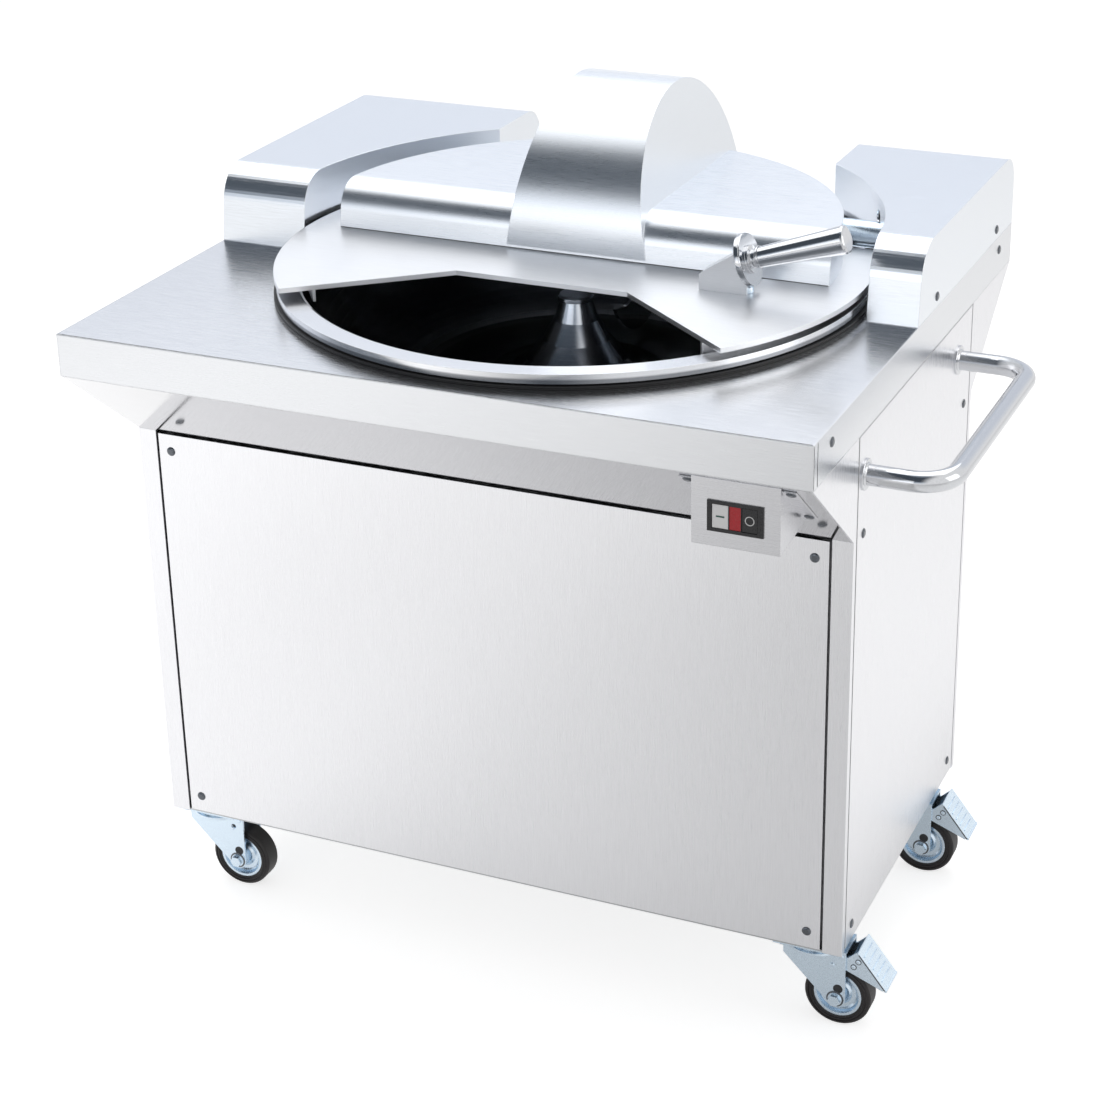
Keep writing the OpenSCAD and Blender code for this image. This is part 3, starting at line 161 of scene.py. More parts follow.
# Steels: colour, roughness, how far it varies, brushing direction and depth, edge rounding
steelSet = {
    "worktopSteel": {
        "colour": (0.79, 0.80, 0.82), "rough": 0.25, "vary": 0.04,
        "grain": (3, 320, 320), "depth": 0.07, "edge": 0.0026},
    "panelSteel": {
        "colour": (0.86, 0.86, 0.88), "rough": 0.28, "vary": 0.015,
        "grain": (340, 340, 3), "depth": 0.02, "edge": 0.0008},
    "mirrorSteel": {
        "colour": (0.62, 0.62, 0.63), "rough": 0.09, "vary": 0.02,
        "grain": (3, 200, 200), "depth": 0.01, "edge": 0.0008},
    "coverSteel": {
        "colour": (0.86, 0.89, 0.93), "rough": 0.21, "vary": 0.04,
        "grain": (4, 220, 220), "depth": 0.03, "edge": 0.0012},
    "hoodSteel": {
        "colour": (0.86, 0.89, 0.93), "rough": 0.29, "vary": 0.03,
        "grain": (4, 220, 220), "depth": 0.02, "edge": 0.0012},
    "lidSteel": {
        "colour": (0.85, 0.86, 0.88), "rough": 0.36, "vary": 0.04,
        "grain": (4, 300, 300), "depth": 0.05, "edge": 0.0010},
    "brightSteel": {
        "colour": (0.64, 0.65, 0.67), "rough": 0.10, "vary": 0.03,
        "grain": (80, 80, 80), "depth": 0.01, "edge": 0.0006},
    "frameSteel": {
        "colour": (0.52, 0.53, 0.54), "rough": 0.38, "vary": 0.08,
        "grain": (60, 60, 60), "depth": 0.05, "edge": 0.0008},
    "zincSteel": {
        "colour": (0.72, 0.83, 0.93), "rough": 0.26, "vary": 0.05,
        "grain": (90, 90, 90), "depth": 0.05, "edge": 0.0006},
    "switchSteel": {
        "colour": (0.67, 0.67, 0.69), "rough": 0.28, "vary": 0.04,
        "grain": (4, 260, 260), "depth": 0.06, "edge": 0.0008},
    # Painted shade: near-black steel for the screw heads, the axle rings and the pedals' edge
    # strips
    "paintedShadeSteel": {
        "colour": (0.13, 0.14, 0.155), "rough": 0.16, "vary": 0.05,
        "grain": (120, 120, 120), "depth": 0.03, "edge": 0.0004},
    "pulleyIron": {
        "colour": (0.34, 0.34, 0.35), "rough": 0.45, "vary": 0.10,
        "grain": (120, 120, 120), "depth": 0.10, "edge": 0.0006},
}

# What all steels share: scale of brushing and smudges, darker and lighter shade, relief
allSteels = {"fine": 10, "broad": 2.5, "broadDetail": 2, "shades": (0.95, 1.04), "relief": 0.0004}


def steelMaterial(name, colour, rough, vary, grain, depth, edge):
    mat, tree = newMaterial(name)
    fine = stretchedNoise(tree, allSteels["fine"], grain)
    broad = stretchedNoise(tree, allSteels["broad"], (1, 1, 1), allSteels["broadDetail"])
    shades = [[min(1, part * share) for part in colour] + [1] for share in allSteels["shades"]]
    tint = mixColours(tree, mapRange(tree, fine), *shades)
    smudge = fedNode(tree, "ShaderNodeMath", mapRange(tree, fine, rough - vary, rough + vary),
        mapRange(tree, broad, -vary / 2, vary / 2), operation="ADD")
    shader = addNode(tree, "ShaderNodeBsdfPrincipled", Metallic=1.0, Roughness=smudge)
    feed(tree, shader.inputs["Base Color"], tint)
    endMaterial(tree, shader, fine, depth, allSteels["relief"], edge)
    return mat


# Plastics, rubber and paint: colour, roughness, speckle's colour and scale, bump
dullSet = {
    "sealRubber": {
        "colour": (0.005, 0.005, 0.006), "rough": 0.45,
        "speck": (0.012, 0.012, 0.013), "grain": 400, "depth": 0.05},
    "tyreRubber": {
        "colour": (0.011, 0.010, 0.010), "rough": 0.45,
        "speck": (0.022, 0.016, 0.016), "grain": 500, "depth": 0.15},
    "drivePaint": {
        "colour": (0.13, 0.2, 0.28), "rough": 0.38,
        "speck": (0.15, 0.23, 0.31), "grain": 200, "depth": 0.10},
    "blackPlastic": {
        "colour": (0.014, 0.014, 0.016), "rough": 0.28,
        "speck": (0.02, 0.02, 0.022), "grain": 700, "depth": 0.05},
    "whitePlastic": {
        "colour": (0.88, 0.88, 0.88), "rough": 0.30,
        "speck": (0.84, 0.84, 0.84), "grain": 700, "depth": 0.03},
    "redPlastic": {
        "colour": (0.52, 0.02, 0.03), "rough": 0.25,
        "speck": (0.42, 0.015, 0.02), "grain": 700, "depth": 0.03},
    "boneWhite": {
        "colour": (0.78, 0.78, 0.78), "rough": 0.35,
        "speck": (0.70, 0.70, 0.70), "grain": 900, "depth": 0.03},
    "markGreen": {
        "colour": (0.02, 0.09, 0.07), "rough": 0.4,
        "speck": (0.03, 0.12, 0.09), "grain": 900, "depth": 0.03},
    "slotDark": {
        "colour": (0.02, 0.02, 0.022), "rough": 0.5,
        "speck": (0.04, 0.04, 0.042), "grain": 600, "depth": 0.1},
}

# What all dull finishes share: how far the roughness varies, relief, edge rounding
allDull = {"smoother": 0.04, "rougher": 0.06, "relief": 0.0003, "edge": 0.0006}


def dullMaterial(name, colour, rough, speck, grain, depth):
    mat, tree = newMaterial(name)
    fine = stretchedNoise(tree, grain, (1, 1, 1))
    tint = mixColours(tree, mapRange(tree, fine), (*colour, 1), (*speck, 1))
    spread = mapRange(tree, fine, rough - allDull["smoother"], rough + allDull["rougher"])
    shader = addNode(tree, "ShaderNodeBsdfPrincipled", Roughness=spread)
    feed(tree, shader.inputs["Base Color"], tint)
    endMaterial(tree, shader, fine, depth, allDull["relief"], allDull["edge"])
    return mat


# Turned bowl: a steel rim; below its height the trough is darker as painted shade, lighter towards
# the axis as painted light on the centre cone, with fine rings round the axis
bowlSet = {
    "axis": (-0.0217, -0.015, 0),
    "rimHeight": 0.7625,
    "rimBlend": 0.001,
    "rim": (0.86, 0.87, 0.89, 1),
    "trough": (0.30, 0.31, 0.33, 1),
    "conePaintedLight": (0.72, 0.76, 0.82, 1),
    "conePaintedLightReach": (0.060, 0.022),
    "rings": 900,
    "ringDetail": 4,
    "rough": (0.19, 0.24),
    "depth": 0.008,
    "relief": 0.0004,
    "edge": 0.001,
}


def bowlMaterial():
    mat, tree = newMaterial("bowlSteel")
    coords = addNode(tree, "ShaderNodeTexCoord")
    centred = addNode(tree, "ShaderNodeMapping", Vector=coords.outputs["Object"],
        Location=[-value for value in bowlSet["axis"]])
    split = addNode(tree, "ShaderNodeSeparateXYZ", Vector=centred.outputs["Vector"])
    flat = addNode(tree, "ShaderNodeCombineXYZ", X=split.outputs["X"], Y=split.outputs["Y"])
    length = addNode(tree, "ShaderNodeVectorMath", operation="LENGTH", Vector=flat.outputs[0])
    reach = length.outputs["Value"]
    rings = addNode(tree, "ShaderNodeTexNoise", noise_dimensions="1D", W=reach,
        Scale=bowlSet["rings"], Detail=bowlSet["ringDetail"]).outputs["Fac"]
    level, blend = bowlSet["rimHeight"], bowlSet["rimBlend"]
    high = mapRange(tree, split.outputs["Z"], span=(level - blend, level + blend))
    # Painted shade in the trough, turning into painted light on the cone near the axis
    middle = mapRange(tree, reach, span=bowlSet["conePaintedLightReach"])
    paintedInside = mixColours(tree, middle, bowlSet["trough"], bowlSet["conePaintedLight"])
    shader = addNode(tree, "ShaderNodeBsdfPrincipled", Metallic=1.0,
        Roughness=mapRange(tree, rings, *bowlSet["rough"]))
    feed(tree, shader.inputs["Base Color"], mixColours(tree, high, paintedInside, bowlSet["rim"]))
    endMaterial(tree, shader, rings, bowlSet["depth"], bowlSet["relief"], bowlSet["edge"])
    return mat


finishes = {name: steelMaterial(name, **values) for name, values in steelSet.items()}
finishes["bowlSteel"] = bowlMaterial()
finishes.update({name: dullMaterial(name, **values) for name, values in dullSet.items()})

# Finish of each of the record's material slots
slotFinish = {
    "worktop_steel": "worktopSteel",
    "panel_steel": "panelSteel",
    "mirror_steel": "mirrorSteel",
    "cover_steel": "coverSteel",
    "lid_steel": "lidSteel",
    "bowl_steel": "bowlSteel",
    "bright_steel": "brightSteel",
    "frame_steel": "frameSteel",
    "zinc_steel": "zincSteel",
    "switch_steel": "switchSteel",
    "pulley_iron": "pulleyIron",
    "seal_rubber": "sealRubber",
    "tyre_rubber": "tyreRubber",
    "drive_paint": "drivePaint",
    "black_plastic": "blackPlastic",
    "white_plastic": "whitePlastic",
    "red_plastic": "redPlastic",
}

# Nodes whose finish differs from their slot's
nodeFinish = {"lid_cover": "hoodSteel", "screws": "paintedShadeSteel"}


def finishNodes():
    for part in frame["record"]["subparts"]:
        names = [part["node"]] if isinstance(part["node"], str) else part["node"]
        for node in names:
            finish = nodeFinish.get(node, slotFinish[part["material_slot"]])
            mesh = nodes[node].data
            mesh.materials.clear()
            mesh.materials.append(finishes[finish])


finishNodes()
print("finishes made")

# White floor that keeps the shadow; seen by glossy rays it glows by place as painted reflection:
# what steel mirrors of it changes from left to right, as (x, glow), and rises towards the machine
# by its near glow as painted light over the floor's shade there
floorSet = {
    "size": 14,
    "colour": (0.62, 0.62, 0.62, 1),
    "seenGlow": 0.72,
    "mirrorSpan": (-1.6, 1.6),
    "paintedReflectionGlow": [
        (-1.6, 0.68), (-1.2, 0.76), (-0.8, 0.53), (-0.45, 0.45), (-0.2, 0.29),
        (0.1, 0.17), (0.37, 0.08), (0.5, 0.38), (0.8, 0.35), (1.3, 0.36)],
    "nearSpan": (-1.1, -0.5),
    "paintedNearGlow": 0.15,
}


def makeFloor():
    bm = bmesh.new()
    bmesh.ops.create_grid(bm, x_segments=1, y_segments=1, size=floorSet["size"] / 2)
    mesh = bpy.data.meshes.new("floor")
    bm.to_mesh(mesh)
    bm.free()
    floor = bpy.data.objects.new("floor", mesh)
    scene.collection.objects.link(floor)
    mat, tree = newMaterial("floorWhite")
    path = addNode(tree, "ShaderNodeLightPath")
    coords = addNode(tree, "ShaderNodeTexCoord")
    split = addNode(tree, "ShaderNodeSeparateXYZ", Vector=coords.outputs["Object"])
    left, right = floorSet["mirrorSpan"]
    # Painted reflection: glow that only glossy rays see, varying across the floor and lifted near
    # the machine
    stops = [((x - left) / (right - left), (glow,) * 3) for x, glow in floorSet["paintedReflectionGlow"]]
    across = mapRange(tree, split.outputs["X"], span=(left, right))
    near = mapRange(tree, split.outputs["Y"], high=floorSet["paintedNearGlow"], span=floorSet["nearSpan"])
    lifted = fedNode(tree, "ShaderNodeMath", ramp(tree, across, stops), near, operation="ADD")
    mirrored = fedNode(tree, "ShaderNodeMath", path.outputs["Is Glossy Ray"], lifted,
        operation="MULTIPLY")
    strength = fedNode(tree, "ShaderNodeMath", path.outputs["Is Camera Ray"],
        floorSet["seenGlow"], mirrored, operation="MULTIPLY_ADD")
    diffuse = addNode(tree, "ShaderNodeBsdfDiffuse", Color=floorSet["colour"])
    glow = addNode(tree, "ShaderNodeEmission", Color=(1, 1, 1, 1), Strength=strength)
    both = fedNode(tree, "ShaderNodeAddShader", diffuse.outputs[0], glow.outputs[0])
    addNode(tree, "ShaderNodeOutputMaterial", Surface=both)
    mesh.materials.append(mat)


# Room that steel mirrors: tones over the sine of the height angle, from 0 below to 1 above,
# with 0.5 level, and where the front side turns into the back side and into the right side
roomTones = {
    "white": (1, 1, 1),
    "pale": (0.80, 0.84, 0.90),
    "blue": (0.42, 0.48, 0.56),
    "dark": (0.07, 0.085, 0.105),
    "grey": (0.80, 0.84, 0.92),
}
roomSet = {
    "frontSide": [(0.0, "white"), (0.48, "white"), (0.56, "pale"), (0.62, "blue"),
        (0.69, "dark"), (0.96, "dark"), (1.0, "blue")],
    "backSide": [(0.0, "white"), (0.5, "white"), (0.60, "grey"), (0.72, "grey"),
        (0.84, "white"), (1.0, "white")],
    "backTurn": (-0.20, 0.12),
    "rightTurn": (0.2, 0.6),
    "diffuse": 0.50,
}


def makeRoom():
    world = bpy.data.worlds.new("studioRoom")
    scene.world = world
    world.use_nodes = True
    tree = world.node_tree
    tree.nodes.clear()
    white = (1, 1, 1, 1)
    coords = addNode(tree, "ShaderNodeTexCoord")
    split = addNode(tree, "ShaderNodeSeparateXYZ", Vector=coords.outputs["Generated"])
    rise = mapRange(tree, split.outputs["Z"], span=(-1, 1))
    front, back = (ramp(tree, rise, [(place, roomTones[tone]) for place, tone in roomSet[side]])
        for side in ("frontSide", "backSide"))
    behind = mapRange(tree, split.outputs["Y"], span=roomSet["backTurn"], kind="SMOOTHSTEP")
    right = mapRange(tree, split.outputs["X"], span=roomSet["rightTurn"], kind="SMOOTHSTEP")
    room = mixColours(tree, right, mixColours(tree, behind, front, back), white)
    path = addNode(tree, "ShaderNodeLightPath")
    mirrored = addNode(tree, "ShaderNodeBackground", Color=room)
    plain = addNode(tree, "ShaderNodeBackground", Color=white, Strength=roomSet["diffuse"])
    seen = addNode(tree, "ShaderNodeBackground", Color=white, Strength=1)
    lit = fedNode(tree, "ShaderNodeMixShader", path.outputs["Is Glossy Ray"],
        plain.outputs[0], mirrored.outputs[0])
    shown = fedNode(tree, "ShaderNodeMixShader", path.outputs["Is Camera Ray"],
        lit, seen.outputs[0])
    addNode(tree, "ShaderNodeOutputWorld", Surface=shown)


lampSet = {
    "keySoftbox": {
        "place": (-0.6, 0.95, 3.2), "target": (0, 0, 0.7), "size": (4.4, 3.2), "power": 50},
    "sideSoftbox": {
        "place": (3.0, 0.2, 1.6), "target": (0, 0, 0.6), "size": (1.6, 1.8), "power": 9},
    "frontSoftbox": {
        "place": (-0.8, -3.6, 1.5), "target": (0, 0, 0.5), "size": (2.4, 1.6), "power": 9},
}


def areaLamp(name, place, target, size, power):
    data = bpy.data.lights.new(name, "AREA")
    data.shape = "RECTANGLE"
    data.size, data.size_y = size
    data.energy = power
    lamp = bpy.data.objects.new(name, data)
    lamp.location = place
    lamp.rotation_euler = (Vector(target) - Vector(place)).to_track_quat("-Z", "Y").to_euler()
    scene.collection.objects.link(lamp)


makeFloor()
makeRoom()
for name, values in lampSet.items():
    areaLamp(name, **values)
print("studio made")

# All pieces: closest distance between two points, and the angle that keeps an edge sharp
pieceSet = {"merge": 1e-6, "sharp": 32}


def placePiece(name, bm, finish, body):
    bmesh.ops.remove_doubles(bm, verts=bm.verts, dist=pieceSet["merge"])
    bmesh.ops.recalc_face_normals(bm, faces=bm.faces)
    mesh = bpy.data.meshes.new(name)
    bm.to_mesh(mesh)
    bm.free()
    mesh.materials.append(finishes[finish])
    piece = bpy.data.objects.new(name, mesh)
    scene.collection.objects.link(piece)
    for face in mesh.polygons:
        face.use_smooth = True
    mesh.set_sharp_from_angle(angle=math.radians(pieceSet["sharp"]))
    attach(piece, body)


# Turns a profile of (radius, height) points round an axis, standing on a point
def turned(bm, profile, place, axis, steps):
    fresh = bmesh.new()
    points = [fresh.verts.new((radius, 0, height)) for radius, height in profile]
    edges = [fresh.edges.new(pair) for pair in zip(points, points[1:])]
    bmesh.ops.spin(fresh, geom=points + edges, cent=(0, 0, 0), axis=(0, 0, 1),
        steps=steps, angle=math.tau, use_merge=True)
    bmesh.ops.remove_doubles(fresh, verts=fresh.verts, dist=pieceSet["merge"])
    turn = Vector((0, 0, 1)).rotation_difference(Vector(axis)).to_matrix().to_4x4()
    bmesh.ops.transform(fresh, matrix=Matrix.Translation(place) @ turn, verts=fresh.verts)
    joinInto(bm, fresh)


def joinInto(bm, fresh):
    bmesh.ops.recalc_face_normals(fresh, faces=fresh.faces)
    part = bpy.data.meshes.new("part")
    fresh.to_mesh(part)
    fresh.free()
    bm.from_mesh(part)
    bpy.data.meshes.remove(part)


# A bar with rounded edges, in its own turn
def bar(bm, size, place, edge, turn=None):
    fresh = bmesh.new()
    bmesh.ops.create_cube(fresh, size=1)
    bmesh.ops.scale(fresh, vec=size, verts=fresh.verts)
    bmesh.ops.bevel(fresh, geom=fresh.edges, offset=edge, affect="EDGES", segments=2,
        profile=0.5, material=-1)
    matrix = Matrix.Translation(place) @ (turn or Matrix.Identity(4))
    bmesh.ops.transform(fresh, matrix=matrix, verts=fresh.verts)
    joinInto(bm, fresh)


# Marks on the switch's two keys: a bar for start and a ring for stop
markSet = {
    "bar": (0.0085, 0.0006, 0.0016),
    "barEdge": 0.0001,
    "ring": [(0.0039, -0.0003), (0.0039, 0.0003), (0.0048, 0.0003), (0.0048, -0.0003),
        (0.0039, -0.0003)],
    "steps": 40,
}


def frontMiddle(node):
    low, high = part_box(node)
    return (low[0] + high[0]) / 2, low[1], (low[2] + high[2]) / 2


def makeMarks():
    bm = bmesh.new()
    bar(bm, markSet["bar"], frontMiddle("start_button"), markSet["barEdge"])
    placePiece("startMark", bm, "markGreen", "start_key")
    bm = bmesh.new()
    turned(bm, markSet["ring"], frontMiddle("stop_button"), (0, -1, 0), markSet["steps"])
    placePiece("stopMark", bm, "boneWhite", "stop_key")


makeMarks()

# Domed heads with a cross recess, over the panels' plain screw heads; the dome's profile
# and the slots' height are shares of the radius and the rise
screwSet = {
    "radius": 0.0052,
    "rise": 0.0016,
    "dome": ((1, 0), (1, 0.25), (0.86, 0.62), (0.6, 0.88), (0.3, 0.97), (0, 1)),
    "steps": 24,
    "slot": 0.0011,
    "slotLong": 0.0052,
    "slotHigh": 0.3,
    "slotAt": 0.84,
    "slotTurn": 0.4,
    "slotEdge": 0.0001,
}


# Centre and flat side of each separate head in the screws' mesh, in the order of its points
def screwPlaces():
    bm = bmesh.new()
    bm.from_mesh(nodes["screws"].data)
    bmesh.ops.remove_doubles(bm, verts=bm.verts, dist=pieceSet["merge"])
    places, left = [], dict.fromkeys(bm.verts)
    while left:
        group, queue = [], [left.popitem()[0]]
        while queue:
            vert = queue.pop()
            group.append(vert)
            for edge in vert.link_edges:
                other = edge.other_vert(vert)
                if other in left:
                    del left[other]
                    queue.append(other)
        area = {}
        for face in dict.fromkeys(face for vert in group for face in vert.link_faces):
            key = tuple(round(value, 2) for value in face.normal)
            area[key] = area.get(key, 0) + face.calc_area()
        centre = sum((vert.co for vert in group), Vector()) / len(group)
        places.append((centre, Vector(max(area, key=area.get))))
    bm.free()
    return places


def makeScrews():
    heads, slots = bmesh.new(), bmesh.new()
    radius, rise = screwSet["radius"], screwSet["rise"]
    profile = [(radius * out, rise * up) for out, up in screwSet["dome"]]
    slot = (screwSet["slotLong"], screwSet["slot"], rise * screwSet["slotHigh"])
    cabinetMiddle = frontMiddle("worktop")[0]
    for centre, normal in screwPlaces():
        away = Vector((centre.x - cabinetMiddle, centre.y, 0))
        normal = -normal if normal.dot(away) < 0 else normal
        foot = centre - normal * rise / 2
        turned(heads, profile, foot, normal, screwSet["steps"])
        turn = Vector((0, 0, 1)).rotation_difference(normal).to_matrix().to_4x4()
        for angle in (screwSet["slotTurn"], screwSet["slotTurn"] + math.pi / 2):
            bar(slots, slot, foot + normal * rise * screwSet["slotAt"], screwSet["slotEdge"],
                turn @ Matrix.Rotation(angle, 4, "Z"))
    # Heads in the near-black steel, as painted shade
    placePiece("screwDomes", heads, "paintedShadeSteel", "chassis")
    placePiece("screwCrosses", slots, "slotDark", "chassis")


makeScrews()

# Dark joints: the aprons' mitred corners and the strips set in the side panels' gaps; and a dark
# line along the worktop's front bend, a painted reflection; "shorter" is how much shorter than the
# cabinet they are
cornerSet = {"thick": 0.0008, "wide": 0.0007, "shorter": 0.003, "sink": 0.0002,
    "backs": (0.0008, 0.0115), "edge": 0.0001}
stripSet = {"thick": 0.001, "wide": 0.003, "shorter": 0.002, "sink": 0.001, "edge": 0.0002}
creaseReflectionSet = {"wide": 0.0007, "high": 0.0006, "shorter": 0.004, "back": 0.0012, "sink": 0.0001,
    "edge": 0.0001}


def makeSeamsAndCreaseReflection():
    bm = bmesh.new()
    low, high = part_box("worktop")
    panelLow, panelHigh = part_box("side_panels")
    middle = (low + high) / 2
    panelMiddle = (panelLow + panelHigh) / 2
    cornerSize = (cornerSet["thick"], cornerSet["wide"], high[2] - low[2] - cornerSet["shorter"])
    stripSize = (stripSet["thick"], stripSet["wide"],
        panelHigh[2] - panelLow[2] - stripSet["shorter"])
    for x, side in ((low[0], -1), (high[0], 1)):
        for back in cornerSet["backs"]:
            bar(bm, cornerSize, (x - side * cornerSet["sink"], low[1] + back, middle[2]),
                cornerSet["edge"])
        bar(bm, stripSize, (x - side * stripSet["sink"], panelLow[1] - stripSet["wide"] / 2,
            panelMiddle[2]), stripSet["edge"])
    # Painted reflection: a dark line along the worktop's front bend
    bar(bm, (high[0] - low[0] - creaseReflectionSet["shorter"], creaseReflectionSet["wide"], creaseReflectionSet["high"]),
        (middle[0], low[1] + creaseReflectionSet["back"], high[2] - creaseReflectionSet["sink"]), creaseReflectionSet["edge"])
    placePiece("cabinetSeamsAndCreaseReflection", bm, "slotDark", "chassis")


makeSeamsAndCreaseReflection()

# Flanges welded where the push handle's legs meet the side
flangeSet = {
    "tube": 0.011,
    "radius": 0.0165,
    "thick": 0.0022,
    "bead": 0.0018,
    "softEdge": 0.3,
    "beadSlope": 0.6,
    "steps": 48,
}


def makeHandleFlanges():
    low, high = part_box("push_handle")
    tube, out, thick = flangeSet["tube"], flangeSet["radius"], flangeSet["thick"]
    bead, soft, slope = flangeSet["bead"], flangeSet["softEdge"], flangeSet["beadSlope"]
    profile = [(tube, 0), (out, 0), (out, thick * (1 - soft)), (out - thick * soft, thick),
        (tube + bead, thick), (tube + bead * slope, thick + bead * slope),
        (tube, thick + bead), (tube, 0)]
    bm = bmesh.new()
    for y in (low[1] + tube, high[1] - tube):
        place = (low[0], y, (low[2] + high[2]) / 2)
        turned(bm, profile, place, (1, 0, 0), flangeSet["steps"])
    placePiece("handleFlanges", bm, "brightSteel", "chassis")


makeHandleFlanges()

# Where each caster stands and its wheel's axle runs
casterSet = {
    "swivels": {
        "fl": (-0.4207, -0.187),
        "fr": (0.3273, -0.187),
        "rl": (-0.4207, 0.143),
        "rr": (0.3273, 0.143),
    },
    "trail": 0.028,
    "axleHeight": 0.0375,
}

# Rings on the tyre as (radius, half width, rise), and a dished hub
wheelSet = {
    "tyreHalf": 0.0125,
    "rings": ((0.0305, 0.0012, 0.0005), (0.0335, 0.0006, 0.0004)),
    "ringSink": 0.0012,
    "shoulder": (0.7, 0.6),
    "ringSteps": 64,
    "dish": [(0.0102, 0.0042), (0.0125, 0.0068), (0.0150, 0.0046), (0.0195, 0.0046),
        (0.0215, 0.0062), (0.0232, 0.0044), (0.0102, 0.0042)],
    "dishSteps": 56,
}


def makeWheelTrim(name, centre):
    rings, dish = bmesh.new(), bmesh.new()
    half = wheelSet["tyreHalf"]
    sink = half - wheelSet["ringSink"]
    along, up = wheelSet["shoulder"]
    for side in (-1, 1):
        for radius, wide, rise in wheelSet["rings"]:
            profile = [(radius - wide, sink), (radius - wide * along, half + rise * up),
                (radius, half + rise), (radius + wide * along, half + rise * up),
                (radius + wide, sink), (radius - wide, sink)]
            turned(rings, profile, centre, (0, side, 0), wheelSet["ringSteps"])
        turned(dish, wheelSet["dish"], centre, (0, side, 0), wheelSet["dishSteps"])
    placePiece("tyreRings_" + name, rings, "tyreRubber", "wheel_" + name)
    placePiece("hubDish_" + name, dish, "zincSteel", "wheel_" + name)


# Fork: a swivel race on the crown, rivets and an axle ring on the legs, the ring in near-black
# steel as painted shade round the axle nut, and a dark disc over the axle; the rivets' and the
# dark disc's places are from the axle, in x and z
forkSet = {
    "legOut": 0.0195,
    "crownTop": 0.0987,
    "race": [(0.020, -0.0006), (0.0315, -0.0006), (0.0315, 0.0018), (0.0295, 0.0042),
        (0.0275, 0.0048), (0.0272, 0.0004), (0.020, -0.0006)],
    "raceSteps": 64,
    "rivets": {"f": ((-0.004, 0.043), (0.006, 0.0555)), "r": ((-0.004, 0.043),)},
    "rivet": [(0.0026, 0), (0.0026, 0.0004), (0.0018, 0.0011), (0, 0.0013)],
    "rivetSteps": 20,
    "axleRing": [(0.0070, 0), (0.0098, 0), (0.0098, 0.0003), (0.0094, 0.0005),
        (0.0070, 0.0005), (0.0070, 0)],
    "axleSteps": 40,
    "darkDiscAt": (0.003, 0.0135),
    "darkDisc": [(0, 0), (0.0054, 0), (0.0054, 0.00025), (0, 0.0003)],
    "darkDiscSteps": 28,
}


def makeForkTrim(name, swivel, axle):
    trim, rings, darkDisc = bmesh.new(), bmesh.new(), bmesh.new()
    race = [(radius, forkSet["crownTop"] + rise) for radius, rise in forkSet["race"]]
    turned(trim, race, (*swivel, 0), (0, 0, 1), forkSet["raceSteps"])
    x, y, z = axle
    for side in (-1, 1):
        face = y + side * forkSet["legOut"]
        for right, up in forkSet["rivets"][name[0]]:
            turned(trim, forkSet["rivet"], (x + right, face, z + up), (0, side, 0),
                forkSet["rivetSteps"])
        turned(rings, forkSet["axleRing"], (x, face, z), (0, side, 0), forkSet["axleSteps"])
    right, up = forkSet["darkDiscAt"]
    turned(darkDisc, forkSet["darkDisc"], (x + right, y - forkSet["legOut"], z + up), (0, -1, 0),
        forkSet["darkDiscSteps"])
    placePiece("forkTrim_" + name, trim, "zincSteel", "caster_" + name)
    # Washer rings whose near-black steel is painted shade round the axle nut
    placePiece("axleRingsAndShade_" + name, rings, "paintedShadeSteel", "caster_" + name)
    placePiece("forkDarkDisc_" + name, darkDisc, "slotDark", "caster_" + name)


for name, swivel in casterSet["swivels"].items():
    axle = (swivel[0] + casterSet["trail"], swivel[1], casterSet["axleHeight"])
    makeWheelTrim(name, axle)
    makeForkTrim(name, swivel, axle)

# Brake pedals: ribs and a rolled tip on the foot plate, rivets on the side plates, and dark strips
# along the side plates' edges as painted shade; apex and tip are the plate's ends from the swivel
# in x, and in z
pedalSet = {
    "pedals": ("fr", "rr"),
    "apex": (0.0512, 0.1014),
    "tip": (0.0832, 0.0607),
    "half": 0.0196,
    "ribs": 5,
    "firstRib": 0.18,
    "ribStep": 0.16,
    "ribRise": 0.0024,
    "rib": (0.0022, 0.0294, 0.0012),
    "ribEdge": 0.0004,
    "rollRadius": 0.0018,
    "rollSoft": (0.0002, 0.0003),
    "rollRise": 0.0014,
    "rollSteps": 24,
    "edgeShadeShare": 0.94,
    "edgeShadeSize": (0.0006, 0.0016),
    "edgeShadeAt": 0.52,
    "edgeShadeRise": 0.0011,
    "edgeShadeSink": 0.0001,
    "edgeShadeRound": 0.0002,
    "sideOut": 0.0167,
    "rivets": ((0.0012, 0.0125), (-0.0040, 0.0200)),
    "rivet": [(0.0026, 0), (0.0026, 0.0004), (0.0016, 0.0009), (0, 0.001)],
    "rivetSteps": 20,
    "well": [(0.0026, 0.0001), (0.0034, 0.0001), (0.0034, 0.0003), (0.0026, 0.0003),
        (0.0026, 0.0001)],
    "wellSteps": 24,
}


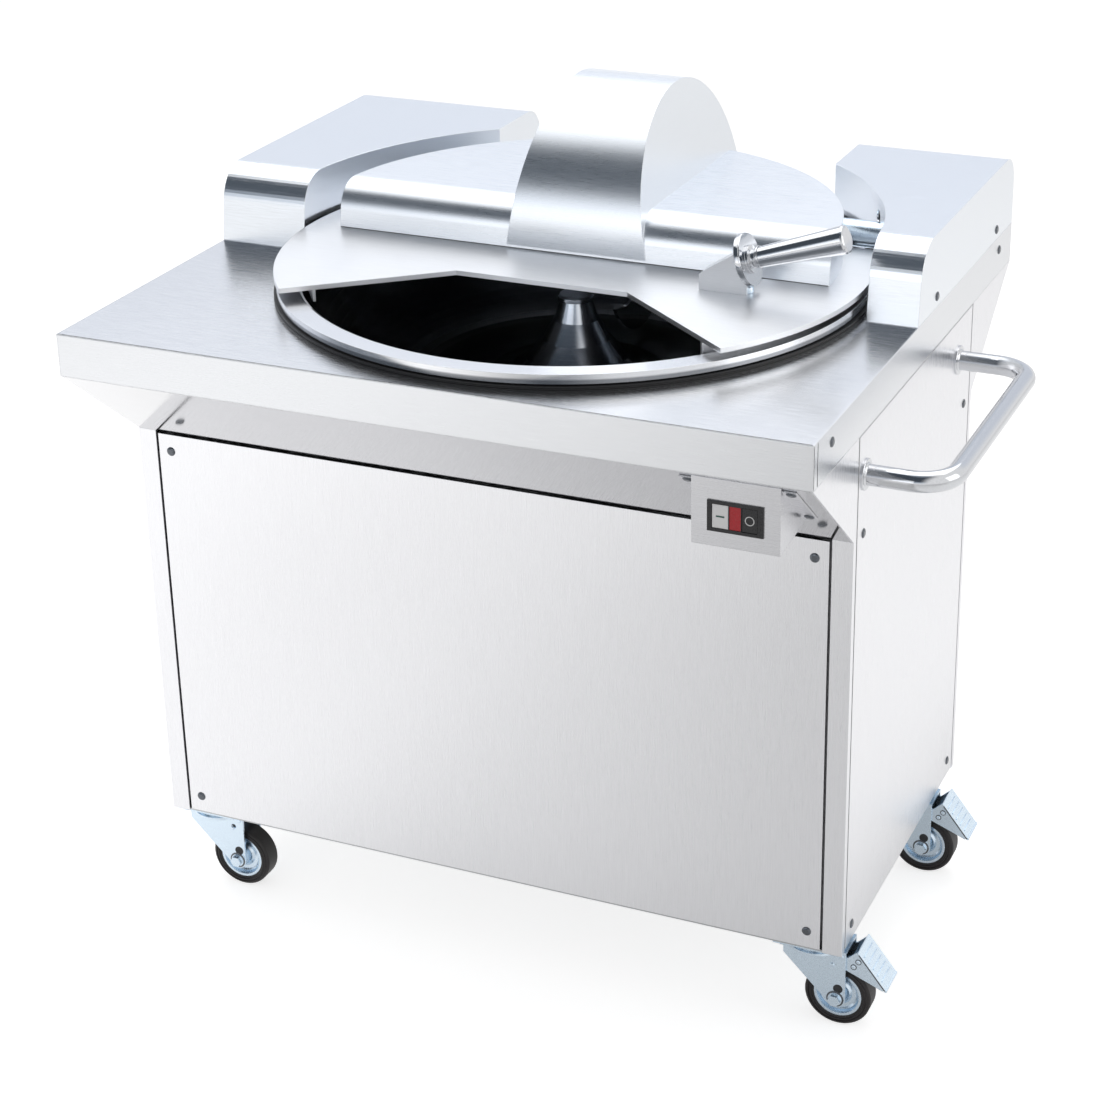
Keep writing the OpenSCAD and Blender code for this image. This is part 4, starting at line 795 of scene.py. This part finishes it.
def makePedalTrim(name):
    trim, wells, edges = bmesh.new(), bmesh.new(), bmesh.new()
    swivel = casterSet["swivels"][name]
    ends = pedalSet["apex"], pedalSet["tip"]
    apex, tip = (Vector((swivel[0] + x, swivel[1], z)) for x, z in ends)
    run = (tip - apex).normalized()
    out = Vector((-run.z, 0, run.x))
    turn = Matrix((run, (0, 1, 0), out)).transposed().to_4x4()
    for i in range(pedalSet["ribs"]):
        at = apex.lerp(tip, pedalSet["firstRib"] + pedalSet["ribStep"] * i)
        bar(trim, pedalSet["rib"], at + out * pedalSet["ribRise"], pedalSet["ribEdge"], turn)
    half, radius = pedalSet["half"], pedalSet["rollRadius"]
    less, soft = pedalSet["rollSoft"]
    roll = [(0, 0), (radius - less, 0), (radius, soft), (radius, 2 * half - soft),
        (radius - less, 2 * half), (0, 2 * half)]
    turned(trim, roll, tip + out * pedalSet["rollRise"] - Vector((0, half, 0)), (0, 1, 0),
        pedalSet["rollSteps"])
    low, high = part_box("pedal_" + name)
    # Painted shade: dark strips along both sides of the pedal
    edgeShadeOut = (high[1] - low[1]) / 2 - pedalSet["edgeShadeSink"]
    edgeShadeSize = ((tip - apex).length * pedalSet["edgeShadeShare"], *pedalSet["edgeShadeSize"])
    for side in (-1, 1):
        middle = apex.lerp(tip, pedalSet["edgeShadeAt"]) + out * pedalSet["edgeShadeRise"]
        bar(edges, edgeShadeSize, middle + Vector((0, side * edgeShadeOut, 0)), pedalSet["edgeShadeRound"], turn)
        for right, down in pedalSet["rivets"]:
            at = apex + Vector((right, side * pedalSet["sideOut"], -down))
            turned(trim, pedalSet["rivet"], at, (0, side, 0), pedalSet["rivetSteps"])
            turned(wells, pedalSet["well"], at, (0, side, 0), pedalSet["wellSteps"])
    placePiece("pedalTrim_" + name, trim, "zincSteel", "brake_" + name)
    placePiece("pedalWells_" + name, wells, "slotDark", "brake_" + name)
    placePiece("pedalEdgeShade_" + name, edges, "paintedShadeSteel", "brake_" + name)


for name in pedalSet["pedals"]:
    makePedalTrim(name)

# Lid: a bead and a collar on the handle's tilted flange, a locking knob under it
gripSet = {
    "flange": (0.1941, -0.062, 0.817),
    "tilt": 18,
    "bead": [(0.0264, 0.0024), (0.0274, 0.0031), (0.0282, 0.0022), (0.0284, 0),
        (0.0282, -0.0022), (0.0274, -0.0031), (0.0264, -0.0024), (0.0264, 0.0024)],
    "beadSteps": 64,
    "collar": [(0.0112, 0.0142), (0.0118, 0.0142), (0.0120, 0.0150), (0.0118, 0.0158),
        (0.0112, 0.0158), (0.0112, 0.0142)],
    "collarSteps": 48,
    "knobAt": (0.001, 0, -0.0355),
    "knob": [(0, 0), (0.0058, 0), (0.0064, 0.0007), (0.0064, 0.0052), (0.0056, 0.0066),
        (0, 0.0072)],
    "knobSteps": 32,
}


def makeGripTrim():
    tilt = math.radians(gripSet["tilt"])
    along = (math.cos(tilt), 0, math.sin(tilt))
    place = Vector(gripSet["flange"])
    bm = bmesh.new()
    turned(bm, gripSet["bead"], place, along, gripSet["beadSteps"])
    turned(bm, gripSet["collar"], place, along, gripSet["collarSteps"])
    placePiece("gripTrim", bm, "brightSteel", "lid")
    bm = bmesh.new()
    foot = place + Vector(gripSet["knobAt"])
    turned(bm, gripSet["knob"], foot, (0, 0, 1), gripSet["knobSteps"])
    placePiece("gripKnob", bm, "zincSteel", "lid")


makeGripTrim()

# Painted shade: a dark strip along the foot of the lid's cover, where it sits on the lid plate
coverFootShadeSet = {"thick": 0.0009, "shorter": 0.002, "out": 0.0002, "edge": 0.0002}


def makeCoverFootShade():
    low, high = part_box("lid_cover")
    thick = coverFootShadeSet["thick"]
    place = ((low[0] + high[0]) / 2, low[1] - coverFootShadeSet["out"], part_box("lid_plate")[1][2])
    bm = bmesh.new()
    bar(bm, (high[0] - low[0] - coverFootShadeSet["shorter"], thick, thick), place,
        coverFootShadeSet["edge"])
    placePiece("coverFootShade", bm, "slotDark", "lid")


makeCoverFootShade()
print("pieces made")

bpy.context.view_layer.update()
